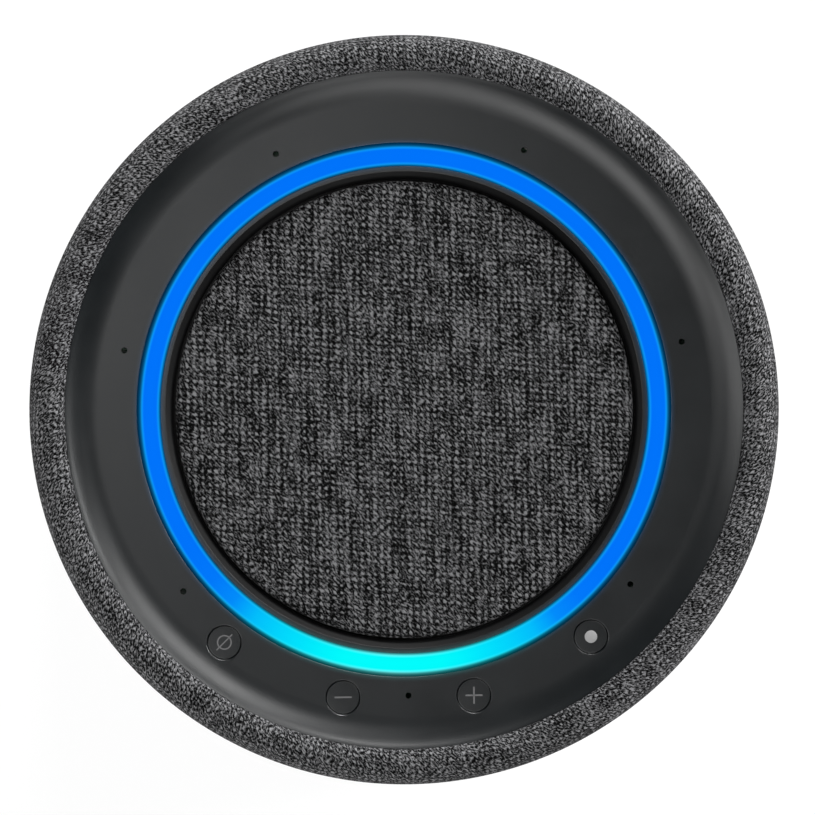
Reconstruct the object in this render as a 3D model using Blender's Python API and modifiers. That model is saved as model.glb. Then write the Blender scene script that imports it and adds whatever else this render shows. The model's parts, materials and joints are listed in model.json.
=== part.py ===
"""A fabric-covered smart home hub with a light ring, four top buttons, five loudspeakers and a bass aperture.

Frame: +Z up, origin at the centre of the base on the surface it stands on, front of the hub towards -Y.
Lengths below are millimetres; MM turns them into Blender's metres.
"""

import math

import bmesh
import bpy
from mathutils import Matrix, Vector

MM = 0.001

# ---- Driving dimensions -------------------------------------------------------------------------
HEIGHT = 206.0
OUTER_R = 87.5
CLOTH_T = 1.0
FIT = 0.3  # air left between pieces that touch

# Top face, from the centre outwards
CLOTH_DISC_R = 53.35
TRIM_LIP_R = 55.7
RING_INNER_R = 57.0
RING_OUTER_R = 62.0
SHOULDER_R = 71.3  # where the bezel starts to rise towards the fabric
BEZEL_R = 79.0
LIP_CREST_R = 81.6  # highest circle of the fabric lip
TOP_FLAT_Z = HEIGHT - 4.6
BEZEL_EDGE_Z = HEIGHT - 2.1
CLOTH_TOP_Z = TOP_FLAT_Z - 1.5
BEZEL_T = 2.0

# Buttons and microphones share one circle of fourteen steps, with a microphone at the front
STEP_DEG = 360.0 / 14
FRONT_DEG = -90.0
BUTTON_CIRCLE_R = 68.57
MIC_CIRCLE_R = 66.67
BUTTON_STEPS = {"mute": -1.5, "volume_down": -0.5, "volume_up": 0.5, "action": 1.5}
MIC_COUNT = 7
BUTTON_R = 3.85
BUTTON_HOLE_R = BUTTON_R + FIT
BUTTON_FLANGE_R = 5.0
BUTTON_RECESS = 0.25
BUTTON_TRAVEL = 0.5
MIC_HOLE_R = 0.65

# Outer rounding of the shell: horizontal and vertical half-axes of the arcs at the top and bottom
EDGE_R = OUTER_R - LIP_CREST_R
TOP_ROUND = 8.0
LIP_ROLL = LIP_CREST_R - BEZEL_R - FIT
BOTTOM_R = 81.5
BOTTOM_ROUND = 7.4
BOTTOM_Z = 3.6

# Levels inside
SHELL_R = OUTER_R - CLOTH_T - FIT
HOUSING_TOP_Z = 68.0
CABINET_R = 82.5
CABINET_BORE_R = 80.0
CABINET_Z = HOUSING_TOP_Z + FIT
CABINET_FLOOR_T = 4.0
LID_Z = 188.0
LID_T = 2.2
BOARD_Z = 191.5
BOARD_T = 1.6
DRIVER_Z = 148.0

# Bass aperture: a flat tunnel with round ends, from front to back
APERTURE_W = 120.0
APERTURE_H = 26.0
APERTURE_Z = 49.0
LINER_T = 2.0
WOOFER_HOLE_R = 58.0

# Connector panel at the back
PANEL_W = 66.0
PANEL_H = 20.0
PANEL_Z = 19.5
PANEL_CORNER = 9.0
PANEL_FACE_Y = 78.5
INLET_X = 15.0
JACK_X = -8.0
USB_X = -21.0

# Base
COVER_Z = 3.0
COVER_T = 2.0
SCREW_CIRCLE_R = 76.5
SCREW_COUNT = 3
SCREW_FIRST_DEG = 30.0

# Facets of round pieces, finest for what shows
FINE = 40
MEDIUM = 24
COARSE = 16
SMALL = 12


# ---- Scene, materials and shape helpers ---------------------------------------------------------
def clear_scene():
    for old in list(bpy.data.objects):
        bpy.data.objects.remove(old, do_unlink=True)


def new_collection(name):
    group = bpy.data.collections.new(name)
    bpy.context.scene.collection.children.link(group)
    return group


def plastic(name, colour, roughness, metallic=0.0):
    """A Principled material of one colour."""
    made = bpy.data.materials.new(name)
    made.use_nodes = True
    shader = made.node_tree.nodes["Principled BSDF"]
    shader.inputs["Base Color"].default_value = (*colour, 1.0)
    shader.inputs["Roughness"].default_value = roughness
    shader.inputs["Metallic"].default_value = metallic
    made.diffuse_color = (*colour, 1.0)
    return made


clear_scene()
HUB = new_collection("smart_home_hub")
CUTTERS = new_collection("cutters")

FABRIC = plastic("charcoal_fabric", (0.055, 0.057, 0.060), 0.95)
BEZEL = plastic("soft_charcoal_plastic", (0.035, 0.036, 0.038), 0.42)
BLACK = plastic("black_plastic", (0.010, 0.010, 0.011), 0.35)
SHELL = plastic("grey_structural_plastic", (0.12, 0.12, 0.13), 0.55)
DIFFUSER = plastic("light_diffuser", (0.0, 0.18, 0.99), 0.30)
RUBBER = plastic("rubber", (0.02, 0.02, 0.02), 0.85)
BOARD = plastic("green_circuit_board", (0.02, 0.16, 0.07), 0.50)
STEEL = plastic("plated_steel", (0.55, 0.55, 0.57), 0.30, 1.0)
ALUMINIUM = plastic("aluminium", (0.75, 0.76, 0.78), 0.35, 1.0)
PAPER = plastic("coated_cone", (0.03, 0.03, 0.032), 0.70)
MAGNET = plastic("ferrite", (0.05, 0.05, 0.055), 0.55)
SPIDER = plastic("phenolic_cloth", (0.55, 0.40, 0.18), 0.85)
WIRE = plastic("cable_jacket", (0.03, 0.03, 0.03), 0.60)
SWITCH = plastic("switch_body", (0.16, 0.16, 0.17), 0.45)


def add_object(name, mesh, material, group=HUB):
    made = bpy.data.objects.new(name, mesh)
    group.objects.link(made)
    if material:
        mesh.materials.append(material)
    if group is CUTTERS:
        made.hide_render = True
        made.display_type = "WIRE"
    return made


def turned(name, profile, material, segments, place=None, group=HUB):
    """A turned piece: profile is (radius, height) points, down the outer side, closed unless it meets the axis."""
    closed = profile[0][0] > 0.0
    points = [(radius * MM, 0.0, height * MM) for radius, height in profile]
    edges = [(i, i + 1) for i in range(len(points) - 1)]
    if closed:
        edges.append((len(points) - 1, 0))
    mesh = bpy.data.meshes.new(name)
    mesh.from_pydata(points, edges, [])
    made = add_object(name, mesh, material, group)
    screw = made.modifiers.new("turn", "SCREW")
    screw.steps = segments
    screw.render_steps = segments
    screw.use_merge_vertices = True
    screw.merge_threshold = 1e-5
    if place:
        made.matrix_world = place
    return made


def block(name, size, centre, material, group=HUB, turn=0.0):
    """A box of that size, turned about the vertical by that many degrees."""
    mesh = bpy.data.meshes.new(name)
    shape = bmesh.new()
    bmesh.ops.create_cube(shape, size=1.0)
    bmesh.ops.scale(shape, vec=Vector(size) * MM, verts=shape.verts)
    shape.to_mesh(mesh)
    shape.free()
    made = add_object(name, mesh, material, group)
    made.location = Vector(centre) * MM
    made.rotation_euler.z = math.radians(turn)
    return made


def rods(name, ends, radius, material, segments=SMALL, group=HUB):
    """Round rods, each from one point to another, in one mesh."""
    mesh = bpy.data.meshes.new(name)
    shape = bmesh.new()
    for start, end in ends:
        start, end = Vector(start), Vector(end)
        along = end - start
        place = Matrix.Translation((start + end) / 2 * MM) @ along.to_track_quat("Z", "Y").to_matrix().to_4x4()
        bmesh.ops.create_cone(
            shape,
            cap_ends=True,
            segments=segments,
            radius1=radius * MM,
            radius2=radius * MM,
            depth=along.length * MM,
            matrix=place,
        )
    shape.to_mesh(mesh)
    shape.free()
    return add_object(name, mesh, material, group)


def outline_along(name, points, start, end, axis, material, group=HUB):
    """A flat outline of (u, v) points pushed along an axis: u, v are X, Z along Y, or X, Y along Z, or Y, Z along X."""
    curve = bpy.data.curves.new(name, "CURVE")
    curve.dimensions = "2D"
    curve.fill_mode = "BOTH"
    curve.extrude = abs(end - start) / 2 * MM
    spline = curve.splines.new("POLY")
    spline.points.add(len(points) - 1)
    for point, (u, v) in zip(spline.points, points):
        point.co = (u * MM, v * MM, 0.0, 1.0)
    spline.use_cyclic_u = True
    drawn = bpy.data.objects.new(name + "_outline", curve)
    HUB.objects.link(drawn)
    middle = (start + end) / 2 * MM
    if axis == "Y":
        drawn.matrix_world = Matrix.Translation((0, middle, 0)) @ Matrix.Rotation(math.pi / 2, 4, "X")
    elif axis == "X":
        turn = Matrix(((0, 0, 1, 0), (1, 0, 0, 0), (0, 1, 0, 0), (0, 0, 0, 1)))
        drawn.matrix_world = Matrix.Translation((middle, 0, 0)) @ turn
    else:
        drawn.matrix_world = Matrix.Translation((0, 0, middle))
    return mesh_of_curve(name, drawn, material, group)


def mesh_of_curve(name, drawn, material, group=HUB):
    """The curve as a closed mesh object in its place, with its caps welded; the curve is removed."""
    bpy.context.view_layer.update()
    graph = bpy.context.evaluated_depsgraph_get()
    mesh = bpy.data.meshes.new_from_object(drawn.evaluated_get(graph))
    shape = bmesh.new()
    shape.from_mesh(mesh)
    bmesh.ops.remove_doubles(shape, verts=shape.verts, dist=1e-6)
    bmesh.ops.recalc_face_normals(shape, faces=shape.faces)
    shape.to_mesh(mesh)
    shape.free()
    mesh.name = name
    mesh.materials.clear()
    made = add_object(name, mesh, material, group)
    made.matrix_world = drawn.matrix_world.copy()
    bpy.data.objects.remove(drawn, do_unlink=True)
    return made


def tube(name, route, radius, material):
    """A cable along a route of points."""
    curve = bpy.data.curves.new(name, "CURVE")
    curve.dimensions = "3D"
    curve.bevel_depth = radius * MM
    curve.bevel_resolution = 2
    curve.use_fill_caps = True
    spline = curve.splines.new("POLY")
    spline.points.add(len(route) - 1)
    for point, place in zip(spline.points, route):
        point.co = (*(Vector(place) * MM), 1.0)
    drawn = bpy.data.objects.new(name + "_route", curve)
    HUB.objects.link(drawn)
    return mesh_of_curve(name, drawn, material)


def combine(target, tool, operation):
    modifier = target.modifiers.new(operation.lower() + "_" + tool.name, "BOOLEAN")
    modifier.operation = operation
    modifier.solver = "EXACT"
    modifier.object = tool


def cut(target, *tools):
    for tool in tools:
        combine(target, tool, "DIFFERENCE")


def fuse(target, *tools):
    for tool in tools:
        combine(target, tool, "UNION")


def ellipse(centre_r, centre_z, across, up, first_deg, last_deg, steps):
    """Points of an elliptical arc, both ends included."""
    found = []
    for i in range(steps + 1):
        angle = math.radians(first_deg + (last_deg - first_deg) * i / steps)
        found.append((centre_r + across * math.cos(angle), centre_z + up * math.sin(angle)))
    return found


def rounded_rectangle(width, height, corner, centre_x, centre_z, steps=3):
    """Outline of a rectangle with round corners, as (x, z) points."""
    found = []
    for quarter in range(4):
        middle = math.radians(90 * quarter + 45)
        x = centre_x + math.copysign(width / 2 - corner, math.cos(middle))
        z = centre_z + math.copysign(height / 2 - corner, math.sin(middle))
        found += ellipse(x, z, corner, corner, 90 * quarter, 90 * quarter + 90, steps)
    return [p for i, p in enumerate(found) if math.dist(p, found[i - 1]) > 1e-6]


def on_circle(radius, degrees, height=0.0):
    angle = math.radians(degrees)
    return Vector((radius * math.cos(angle), radius * math.sin(angle), height))


def button_place(name):
    return on_circle(BUTTON_CIRCLE_R, FRONT_DEG + BUTTON_STEPS[name] * STEP_DEG)


def mic_places():
    return [on_circle(MIC_CIRCLE_R, FRONT_DEG + 2 * i * STEP_DEG) for i in range(MIC_COUNT)]


# ---- Fabric and outer shell ---------------------------------------------------------------------
def aperture_cutter(name, margin):
    """The tunnel's round-ended outline, larger by margin on every side, right through the hub."""
    width, height = APERTURE_W + 2 * margin, APERTURE_H + 2 * margin
    outline = rounded_rectangle(width, height, height / 2, 0.0, APERTURE_Z, 6)
    return outline_along(name, outline, -100, 100, "Y", None, CUTTERS)


def panel_cutter(name, margin, first_y):
    outline = rounded_rectangle(
        PANEL_W + 2 * margin, PANEL_H + 2 * margin, PANEL_CORNER + margin, 0.0, PANEL_Z
    )
    return outline_along(name, outline, first_y, 100, "Y", None, CUTTERS)


def fabric_sleeve():
    top_z = HEIGHT - TOP_ROUND
    roll_z = HEIGHT - LIP_ROLL
    hem_z = TOP_FLAT_Z - 0.4
    bottom_z = BOTTOM_Z + BOTTOM_ROUND
    hem_r = BEZEL_R + FIT
    inner_bottom = OUTER_R - BOTTOM_R - CLOTH_T, BOTTOM_ROUND - CLOTH_T
    profile = [(hem_r, hem_z)]
    profile += ellipse(LIP_CREST_R, roll_z, LIP_ROLL, LIP_ROLL, 180, 90, 2)
    profile += ellipse(LIP_CREST_R, top_z, EDGE_R, TOP_ROUND, 90, 0, 4)[1:]
    profile += ellipse(BOTTOM_R, bottom_z, OUTER_R - BOTTOM_R, BOTTOM_ROUND, 0, -90, 3)
    profile += ellipse(BOTTOM_R, bottom_z, *inner_bottom, -90, 0, 2)
    profile += ellipse(LIP_CREST_R, top_z, EDGE_R - CLOTH_T, TOP_ROUND - CLOTH_T, 0, 90, 3)
    profile += [(hem_r + CLOTH_T, roll_z), (hem_r + CLOTH_T, hem_z)]
    sleeve = turned("fabric_sleeve", profile, FABRIC, FINE)
    cut(
        sleeve,
        aperture_cutter("sleeve_aperture", LINER_T + FIT),
        panel_cutter("sleeve_panel_window", FIT, 60),
    )


def outer_grille():
    """The slotted upper shell that the fabric is stretched over."""
    top_z = HEIGHT - TOP_ROUND
    cloth_gap = CLOTH_T + FIT
    lip_r = BEZEL_R + FIT + cloth_gap
    wall_r = SHELL_R - 2.0
    profile = [(lip_r, TOP_FLAT_Z + 0.1), (lip_r, HEIGHT - LIP_ROLL)]
    profile += ellipse(LIP_CREST_R, top_z, EDGE_R - cloth_gap, TOP_ROUND - cloth_gap, 90, 0, 3)
    profile += [(SHELL_R, CABINET_Z), (wall_r, CABINET_Z), (wall_r, top_z)]
    grille = turned("outer_grille", profile, SHELL, FINE)
    slot_count = 12
    slots = []
    for i in range(slot_count):
        angle = (i + 0.5) * 360 / slot_count
        middle = on_circle(SHELL_R, angle, DRIVER_Z)
        slots.append(block(f"grille_slot_{i}", (12, 9, 62), middle, None, CUTTERS, turn=angle))
    cut(grille, *slots)


def base_housing():
    """The lower tub around the tunnel and the power supply, its screw bosses tied to the wall."""
    bottom_z = BOTTOM_Z + BOTTOM_ROUND
    wall_r = SHELL_R - 3.0
    gap = CLOTH_T + FIT
    arc = ellipse(BOTTOM_R, bottom_z, SHELL_R - BOTTOM_R, BOTTOM_ROUND - gap - 0.4, 0, -90, 2)
    profile = [(WOOFER_HOLE_R + 2, HOUSING_TOP_Z), (SHELL_R, HOUSING_TOP_Z)]
    profile += arc
    profile += [(BOTTOM_R, bottom_z - 4), (wall_r, bottom_z)]
    profile += [(wall_r, HOUSING_TOP_Z - 3), (WOOFER_HOLE_R + 2, HOUSING_TOP_Z - 3)]
    housing = turned("base_housing", profile, SHELL, FINE)
    boss_z = COVER_Z + COVER_T + FIT
    ties = []
    for low, _ in screw_axes(boss_z + 9, 0):
        outward = low.xy.normalized().to_3d()
        ties.append((low + outward * 2, low + outward * 8))
    fuse(
        housing,
        rods("screw_bosses", screw_axes(boss_z, boss_z + 14), 4.2, None, 12, CUTTERS),
        rods("boss_ties", ties, 3.0, None, 6, CUTTERS),
    )
    cut(
        housing,
        rods("boss_bores", screw_axes(0, boss_z + 10), 1.8, None, 8, CUTTERS),
        aperture_cutter("housing_aperture", LINER_T + FIT),
        panel_cutter("housing_panel_window", FIT, 60),
        rods("housing_cable_hole", [((72, 12, 60), (72, 12, 75))], 3.0, None, SMALL, CUTTERS),
    )


def aperture_liner():
    """The tunnel itself: a round-ended tube trimmed to the fabric, open above to the woofer."""
    outer = rounded_rectangle(
        APERTURE_W + 2 * LINER_T, APERTURE_H + 2 * LINER_T, APERTURE_H / 2 + LINER_T, 0, APERTURE_Z, 6
    )
    liner = outline_along("aperture_liner", outer, -95, 95, "Y", BLACK)
    drum = rods("liner_trim", [((0, 0, 20), (0, 0, 80))], OUTER_R - 0.2, None, FINE, CUTTERS)
    combine(liner, drum, "INTERSECT")
    hole = rods("liner_woofer_hole", [((0, 0, 57), (0, 0, 72))], WOOFER_HOLE_R - 2, None, MEDIUM, CUTTERS)
    cut(liner, aperture_cutter("liner_bore", 0.0), hole)


# ---- Base ---------------------------------------------------------------------------------------
def screw_axes(low, high):
    return [
        (on_circle(SCREW_CIRCLE_R, angle, low), on_circle(SCREW_CIRCLE_R, angle, high))
        for angle in (SCREW_FIRST_DEG + i * 360 / SCREW_COUNT for i in range(SCREW_COUNT))
    ]


def base():
    cover_r = BOTTOM_R - 0.7
    top = COVER_Z + COVER_T
    cover = rods("base_cover", [((0, 0, COVER_Z), (0, 0, top))], cover_r, BLACK, FINE)
    posts = [((x, y, top - 0.5), (x, y, 9.7)) for x in (-38, 38) for y in (-28, 18)]
    fuse(cover, rods("board_posts", posts, 3.0, None, 8, CUTTERS))
    cut(cover, rods("cover_screw_holes", screw_axes(0, 10), 1.9, None, 8, CUTTERS))

    turned(
        "foot_ring",
        [(58.4, 2.7), (72, 2.7), (71.2, 0), (59.2, 0)],
        RUBBER,
        FINE,
    )
    for i, (low, high) in enumerate(screw_axes(1.3, 13)):
        head_top = 1.4
        profile = [(0, 11.7), (1.5, 11.7), (1.5, head_top), (3, head_top), (3, 0.6), (2.3, 0), (0, 0)]
        screw = turned(f"base_screw_{i + 1}", profile, STEEL, 10, Matrix.Translation(low * MM))
        recess = low - Vector((0, 0, 1)), low + Vector((0, 0, 0.8))
        cut(screw, rods(f"screw_recess_{i}", [recess], 1.2, None, 6, CUTTERS))


def connectors():
    """The recessed panel at the back with the mains inlet, the audio jack and the service socket."""
    outline = rounded_rectangle(PANEL_W, PANEL_H, PANEL_CORNER, 0, PANEL_Z)
    panel = outline_along("port_panel", outline, PANEL_FACE_Y - 2, 95, "Y", BLACK)
    drum = rods("panel_trim", [((0, 0, 0), (0, 0, 50))], OUTER_R - 0.3, None, FINE, CUTTERS)
    combine(panel, drum, "INTERSECT")
    inlet_hole = rounded_rectangle(20, 12.6, 6.2, INLET_X, PANEL_Z)
    usb_hole = rounded_rectangle(9.0, 4.4, 1.2, USB_X, PANEL_Z, 2)
    cut(
        panel,
        panel_cutter("panel_recess", -2.0, PANEL_FACE_Y),
        outline_along("panel_inlet_hole", inlet_hole, 70, 90, "Y", None, CUTTERS),
        outline_along("panel_usb_hole", usb_hole, 70, 90, "Y", None, CUTTERS),
        rods("panel_jack_hole", [((JACK_X, 70, PANEL_Z), (JACK_X, 90, PANEL_Z))], 3.8, None, SMALL, CUTTERS),
    )

    nose = rounded_rectangle(19.4, 12.0, 5.9, INLET_X, PANEL_Z)
    inlet = outline_along("power_inlet", nose, 62, PANEL_FACE_Y, "Y", BLACK)
    fuse(inlet, block("inlet_body", (23, 15, 14.6), (INLET_X, 68.2, PANEL_Z), None, CUTTERS))
    socket = rounded_rectangle(15.8, 8.8, 4.3, INLET_X, PANEL_Z)
    cut(inlet, outline_along("inlet_socket", socket, 66.5, 90, "Y", None, CUTTERS))
    for side, x in (("left", INLET_X + 4.3), ("right", INLET_X - 4.3)):
        rods("power_pin_" + side, [((x, 66.8, PANEL_Z), (x, 75.5, PANEL_Z))], 1.2, STEEL, 12)

    jack = rods("audio_jack", [((JACK_X, 62, PANEL_Z), (JACK_X, PANEL_FACE_Y, PANEL_Z))], 3.5, BLACK)
    fuse(jack, block("jack_body", (10, 13, 10), (JACK_X, 69.5, PANEL_Z), None, CUTTERS))
    cut(jack, rods("jack_bore", [((JACK_X, 64, PANEL_Z), (JACK_X, 90, PANEL_Z))], 1.8, None, 12, CUTTERS))

    shell = rounded_rectangle(8.2, 3.6, 0.9, USB_X, PANEL_Z, 2)
    usb = outline_along("usb_socket", shell, 71, PANEL_FACE_Y, "Y", STEEL)
    mouth = rounded_rectangle(6.9, 2.2, 0.4, USB_X, PANEL_Z, 2)
    cut(usb, outline_along("usb_mouth", mouth, 73, 90, "Y", None, CUTTERS))


def power_supply():
    block("power_supply_board", (90, 60, 1.6), (0, -5, 10.8), BOARD)
    block("transformer", (28, 24, 16), (-18, -8, 19.9), MAGNET)
    turned(
        "filter_capacitor",
        [(0, 31), (8.4, 31), (9, 30.4), (9, 12.0), (0, 12.0)],
        ALUMINIUM,
        COARSE,
        Matrix.Translation(Vector((22, 4, 0)) * MM),
    )
    route = [
        (40, 2, 14.5),
        (46, 3, 15),
        (58, 7, 16),
        (67, 10, 19),
        (71, 11.5, 25),
        (72, 12, 35),
        (72, 12, 62),
        (72, 12, 82),
        (70.5, 17, 92),
        (66, 27, 101),
        (58, 40, 107),
        (48, 51, 110),
        (38, 57, 112),
        (30, 57.2, 113.5),
    ]
    tube("power_harness", route, 2.0, WIRE)


# ---- Top assembly -------------------------------------------------------------------------------
def top_bezel():
    """The dished ring round the light, with holes for the buttons and the microphones."""
    run = BEZEL_R - SHOULDER_R
    rise = BEZEL_EDGE_Z - TOP_FLAT_Z
    shoulder_radius = (run**2 + rise**2) / (2 * rise)
    end_deg = math.degrees(math.asin(run / shoulder_radius))
    shoulder = ellipse(
        SHOULDER_R, TOP_FLAT_Z + shoulder_radius, shoulder_radius, shoulder_radius, -90, -90 + end_deg, 3
    )
    underside = TOP_FLAT_Z - BEZEL_T
    profile = [(RING_OUTER_R + 0.1, TOP_FLAT_Z)]
    profile += shoulder
    profile += [(BEZEL_R, LID_Z + LID_T + FIT), (BEZEL_R - 1.8, LID_Z + LID_T + FIT)]
    profile += [(BEZEL_R - 1.8, underside + 1.2), (SHOULDER_R + 2, underside), (RING_OUTER_R + 0.1, underside)]
    bezel = turned("top_bezel", profile, BEZEL, FINE)
    lift = Vector((0, 0, TOP_FLAT_Z))
    drop = Vector((0, 0, 6))
    button_ends = [(button_place(n) + lift - drop, button_place(n) + lift + drop) for n in BUTTON_STEPS]
    mic_ends = [(p + lift - drop, p + lift + drop) for p in mic_places()]
    cut(
        bezel,
        rods("button_holes", button_ends, BUTTON_HOLE_R, None, COARSE, CUTTERS),
        rods("mic_holes", mic_ends, MIC_HOLE_R, None, 6, CUTTERS),
    )


def light_ring():
    inner, outer = RING_INNER_R + 0.2, RING_OUTER_R - 0.2
    bottom = TOP_FLAT_Z - 3
    profile = [(inner, TOP_FLAT_Z), (outer, TOP_FLAT_Z), (outer, bottom), (inner, bottom)]
    turned("light_ring", profile, DIFFUSER, FINE)

    channel_top = bottom - FIT
    floor = BOARD_Z + BOARD_T + 0.4
    inner_wall = inner + 0.4
    reflector = [
        (outer - 0.2, channel_top),
        (outer + 0.6, channel_top),
        (outer + 0.6, floor),
        (inner_wall, floor),
        (inner_wall, channel_top),
        (inner_wall + 0.8, channel_top),
        (inner_wall + 0.8, floor + 0.8),
        (outer - 0.2, floor + 0.8),
    ]
    turned("led_reflector", reflector, SHELL, MEDIUM)


def centre_speaker_cover():
    """The black sloping trim, the cloth disc and the perforated plate that holds the cloth flat."""
    trim_outer = RING_INNER_R - 0.1
    trim_foot_z = TOP_FLAT_Z - 6.4
    wall_r = CLOTH_DISC_R + 0.45
    ledge_r = CLOTH_DISC_R - 2.8
    ledge_z = TOP_FLAT_Z - 5.1
    profile = [(TRIM_LIP_R, TOP_FLAT_Z), (trim_outer, TOP_FLAT_Z), (trim_outer, trim_foot_z)]
    profile += [(ledge_r, trim_foot_z), (ledge_r, ledge_z), (wall_r, ledge_z), (wall_r, TOP_FLAT_Z - 3.4)]
    turned("inner_trim", profile, BLACK, FINE)

    cloth_t = 0.8
    hem_z = ledge_z + FIT
    edge_r = CLOTH_DISC_R
    cloth = [
        (0, CLOTH_TOP_Z),
        (edge_r - 1.0, CLOTH_TOP_Z),
        (edge_r, CLOTH_TOP_Z - 1.0),
        (edge_r, hem_z),
        (edge_r - cloth_t, hem_z),
        (edge_r - cloth_t, CLOTH_TOP_Z - 1.3),
        (edge_r - 1.3, CLOTH_TOP_Z - cloth_t),
        (0, CLOTH_TOP_Z - cloth_t),
    ]
    turned("top_cloth", cloth, FABRIC, FINE)

    plate_top = CLOTH_TOP_Z - cloth_t - FIT
    plate = rods("top_grille", [((0, 0, hem_z), (0, 0, plate_top))], edge_r - 1.6, SHELL, FINE)
    holes = [Vector((0, 0, 0))]
    for radius, count in ((17.0, 6), (34.0, 12)):
        holes += [on_circle(radius, 360 * i / count) for i in range(count)]
    low, high = Vector((0, 0, hem_z - 5)), Vector((0, 0, plate_top + 5))
    ends = [(hole + low, hole + high) for hole in holes]
    cut(plate, rods("grille_holes", ends, 6.2, None, 6, CUTTERS))


def button_and_switch(name):
    """One button with its retaining flange, over its own tactile switch."""
    place = Matrix.Translation(button_place(name) * MM)
    flange_top = TOP_FLAT_Z - BEZEL_T - FIT
    top = TOP_FLAT_Z - BUTTON_RECESS
    stub_z = flange_top - 1.1
    button = [
        (0, top - 0.15),
        (BUTTON_R - 0.4, top),
        (BUTTON_R, top - 0.3),
        (BUTTON_R, flange_top),
        (BUTTON_FLANGE_R, flange_top),
        (BUTTON_FLANGE_R, flange_top - 0.8),
        (1.5, flange_top - 0.8),
        (1.5, stub_z),
        (0, stub_z),
    ]
    turned(name + "_button", button, BEZEL, COARSE, place)

    body_z = BOARD_Z + BOARD_T + FIT
    plunger_top = stub_z - BUTTON_TRAVEL - FIT
    centre = button_place(name) + Vector((0, 0, body_z + 1.5))
    angle = FRONT_DEG + BUTTON_STEPS[name] * STEP_DEG
    switch = block(name + "_switch", (6, 6, 3), centre, SWITCH, turn=angle)
    low = button_place(name) + Vector((0, 0, body_z + 2))
    high = button_place(name) + Vector((0, 0, plunger_top))
    fuse(switch, rods(name + "_plunger", [(low, high)], 1.6, None, 10, CUTTERS))


def top_board():
    """The ring-shaped board with the seven microphone cans soldered to it."""
    top = BOARD_Z + BOARD_T
    board = turned("top_board", [(57.8, top), (75.8, top), (75.8, BOARD_Z), (57.8, BOARD_Z)], BOARD, MEDIUM)
    for i, place in enumerate(mic_places()):
        angle = FRONT_DEG + 2 * i * STEP_DEG
        can = block(f"mic_can_{i}", (3, 4, 1.4), place + Vector((0, 0, top + 0.5)), None, CUTTERS, turn=angle)
        fuse(board, can)


# ---- Cabinet and its loudspeakers ---------------------------------------------------------------
def facing(direction, distance):
    """A place whose local +Z looks out along a world direction, that far from the origin in X and Y."""
    turn = Vector(direction).to_track_quat("Z", "Y").to_matrix().to_4x4()
    if abs(direction[2]) > 0.5:
        return Matrix.Translation(Vector((0, 0, distance)) * MM) @ turn
    middle = Vector(direction) * distance + Vector((0, 0, DRIVER_Z))
    return Matrix.Translation(middle * MM) @ turn


MID_PLANE = 74.0
TWEETER_PLANE = 76.5
RIGHT = facing((1, 0, 0), MID_PLANE)
LEFT = facing((-1, 0, 0), MID_PLANE)
FRONT = facing((0, -1, 0), TWEETER_PLANE)
UP = facing((0, 0, 1), LID_Z - FIT)
DOWN = facing((0, 0, -1), CABINET_Z + CABINET_FLOOR_T + FIT)


def cabinet():
    """The sealed tub that carries the drivers, with a flat boss inside the wall for each side driver."""
    top = LID_Z - FIT
    tub = turned(
        "cabinet",
        [(WOOFER_HOLE_R, top), (CABINET_R, top), (CABINET_R, CABINET_Z), (WOOFER_HOLE_R, CABINET_Z)],
        SHELL,
        MEDIUM,
    )
    floor = CABINET_Z + CABINET_FLOOR_T
    hollow = rods("cabinet_hollow", [((0, 0, floor), (0, 0, top + 20))], CABINET_BORE_R, None, MEDIUM, CUTTERS)
    openings = []
    for name, (x, y), plane, boss_r, bore_r in (
        ("right", (1, 0), MID_PLANE, 29.0, 25.5),
        ("left", (-1, 0), MID_PLANE, 29.0, 25.5),
        ("front", (0, -1), TWEETER_PLANE, 21.0, 16.5),
    ):
        out = Vector((x, y, 0))
        middle = Vector((0, 0, DRIVER_Z))
        boss_ends = [(middle + out * (plane + FIT), middle + out * 100)]
        cut(hollow, rods(f"boss_{name}", boss_ends, boss_r, None, COARSE, CUTTERS))
        openings.append((middle + out * 60, middle + out * 100, bore_r, name))
    cut(tub, hollow)
    for start, end, radius, name in openings:
        cut(tub, rods(f"opening_{name}", [(start, end)], radius, None, COARSE, CUTTERS))
    cut(tub, rods("floor_cable_hole", [((72, 12, 60), (72, 12, 80))], 2.8, None, SMALL, CUTTERS))

    lid_top = LID_Z + LID_T
    collar_z = TOP_FLAT_Z - 6.4 - FIT
    lid = turned(
        "cabinet_lid",
        [
            (53.8, collar_z),
            (56.4, collar_z),
            (56.4, lid_top),
            (CABINET_R, lid_top),
            (CABINET_R, LID_Z),
            (25.5, LID_Z),
            (25.5, lid_top),
            (53.8, lid_top),
        ],
        SHELL,
        MEDIUM,
    )
    cut(lid, block("lid_ribbon_slot", (16, 2.4, 12), (21, 66.3, LID_Z), None, CUTTERS))


def mid_driver(name, place):
    """A 50 mm midrange driver: basket, motor, moving cone with its coil former, and rubber surround."""
    basket = [(24.3, 0), (27.5, 0), (27.5, -2), (18.6, -13.5), (8.0, -13.5), (8.0, -12), (17.4, -12)]
    turned(name + "_mid_frame", basket, BLACK, COARSE, place)
    motor = [(0, -13.8), (5.3, -13.8), (5.3, -21), (7.7, -21), (7.7, -13.8), (13, -13.8), (13, -24), (0, -24)]
    turned(name + "_mid_magnet", motor, MAGNET, COARSE, place)
    cone = [(0, -4.2), (8.2, -7.0), (19.5, -0.6), (19.5, -1.4), (6.9, -8.8), (6.9, -17), (6.1, -17)]
    cone += [(6.1, -7.4), (0, -5.2)]
    turned(name + "_mid_cone", cone, PAPER, COARSE, place)
    roll = [(19.8, -0.5), (21.6, 1.4), (23.3, -0.5), (23.3, -1.2), (21.6, 0.6), (19.8, -1.2)]
    turned(name + "_mid_surround", roll, RUBBER, COARSE, place)


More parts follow.
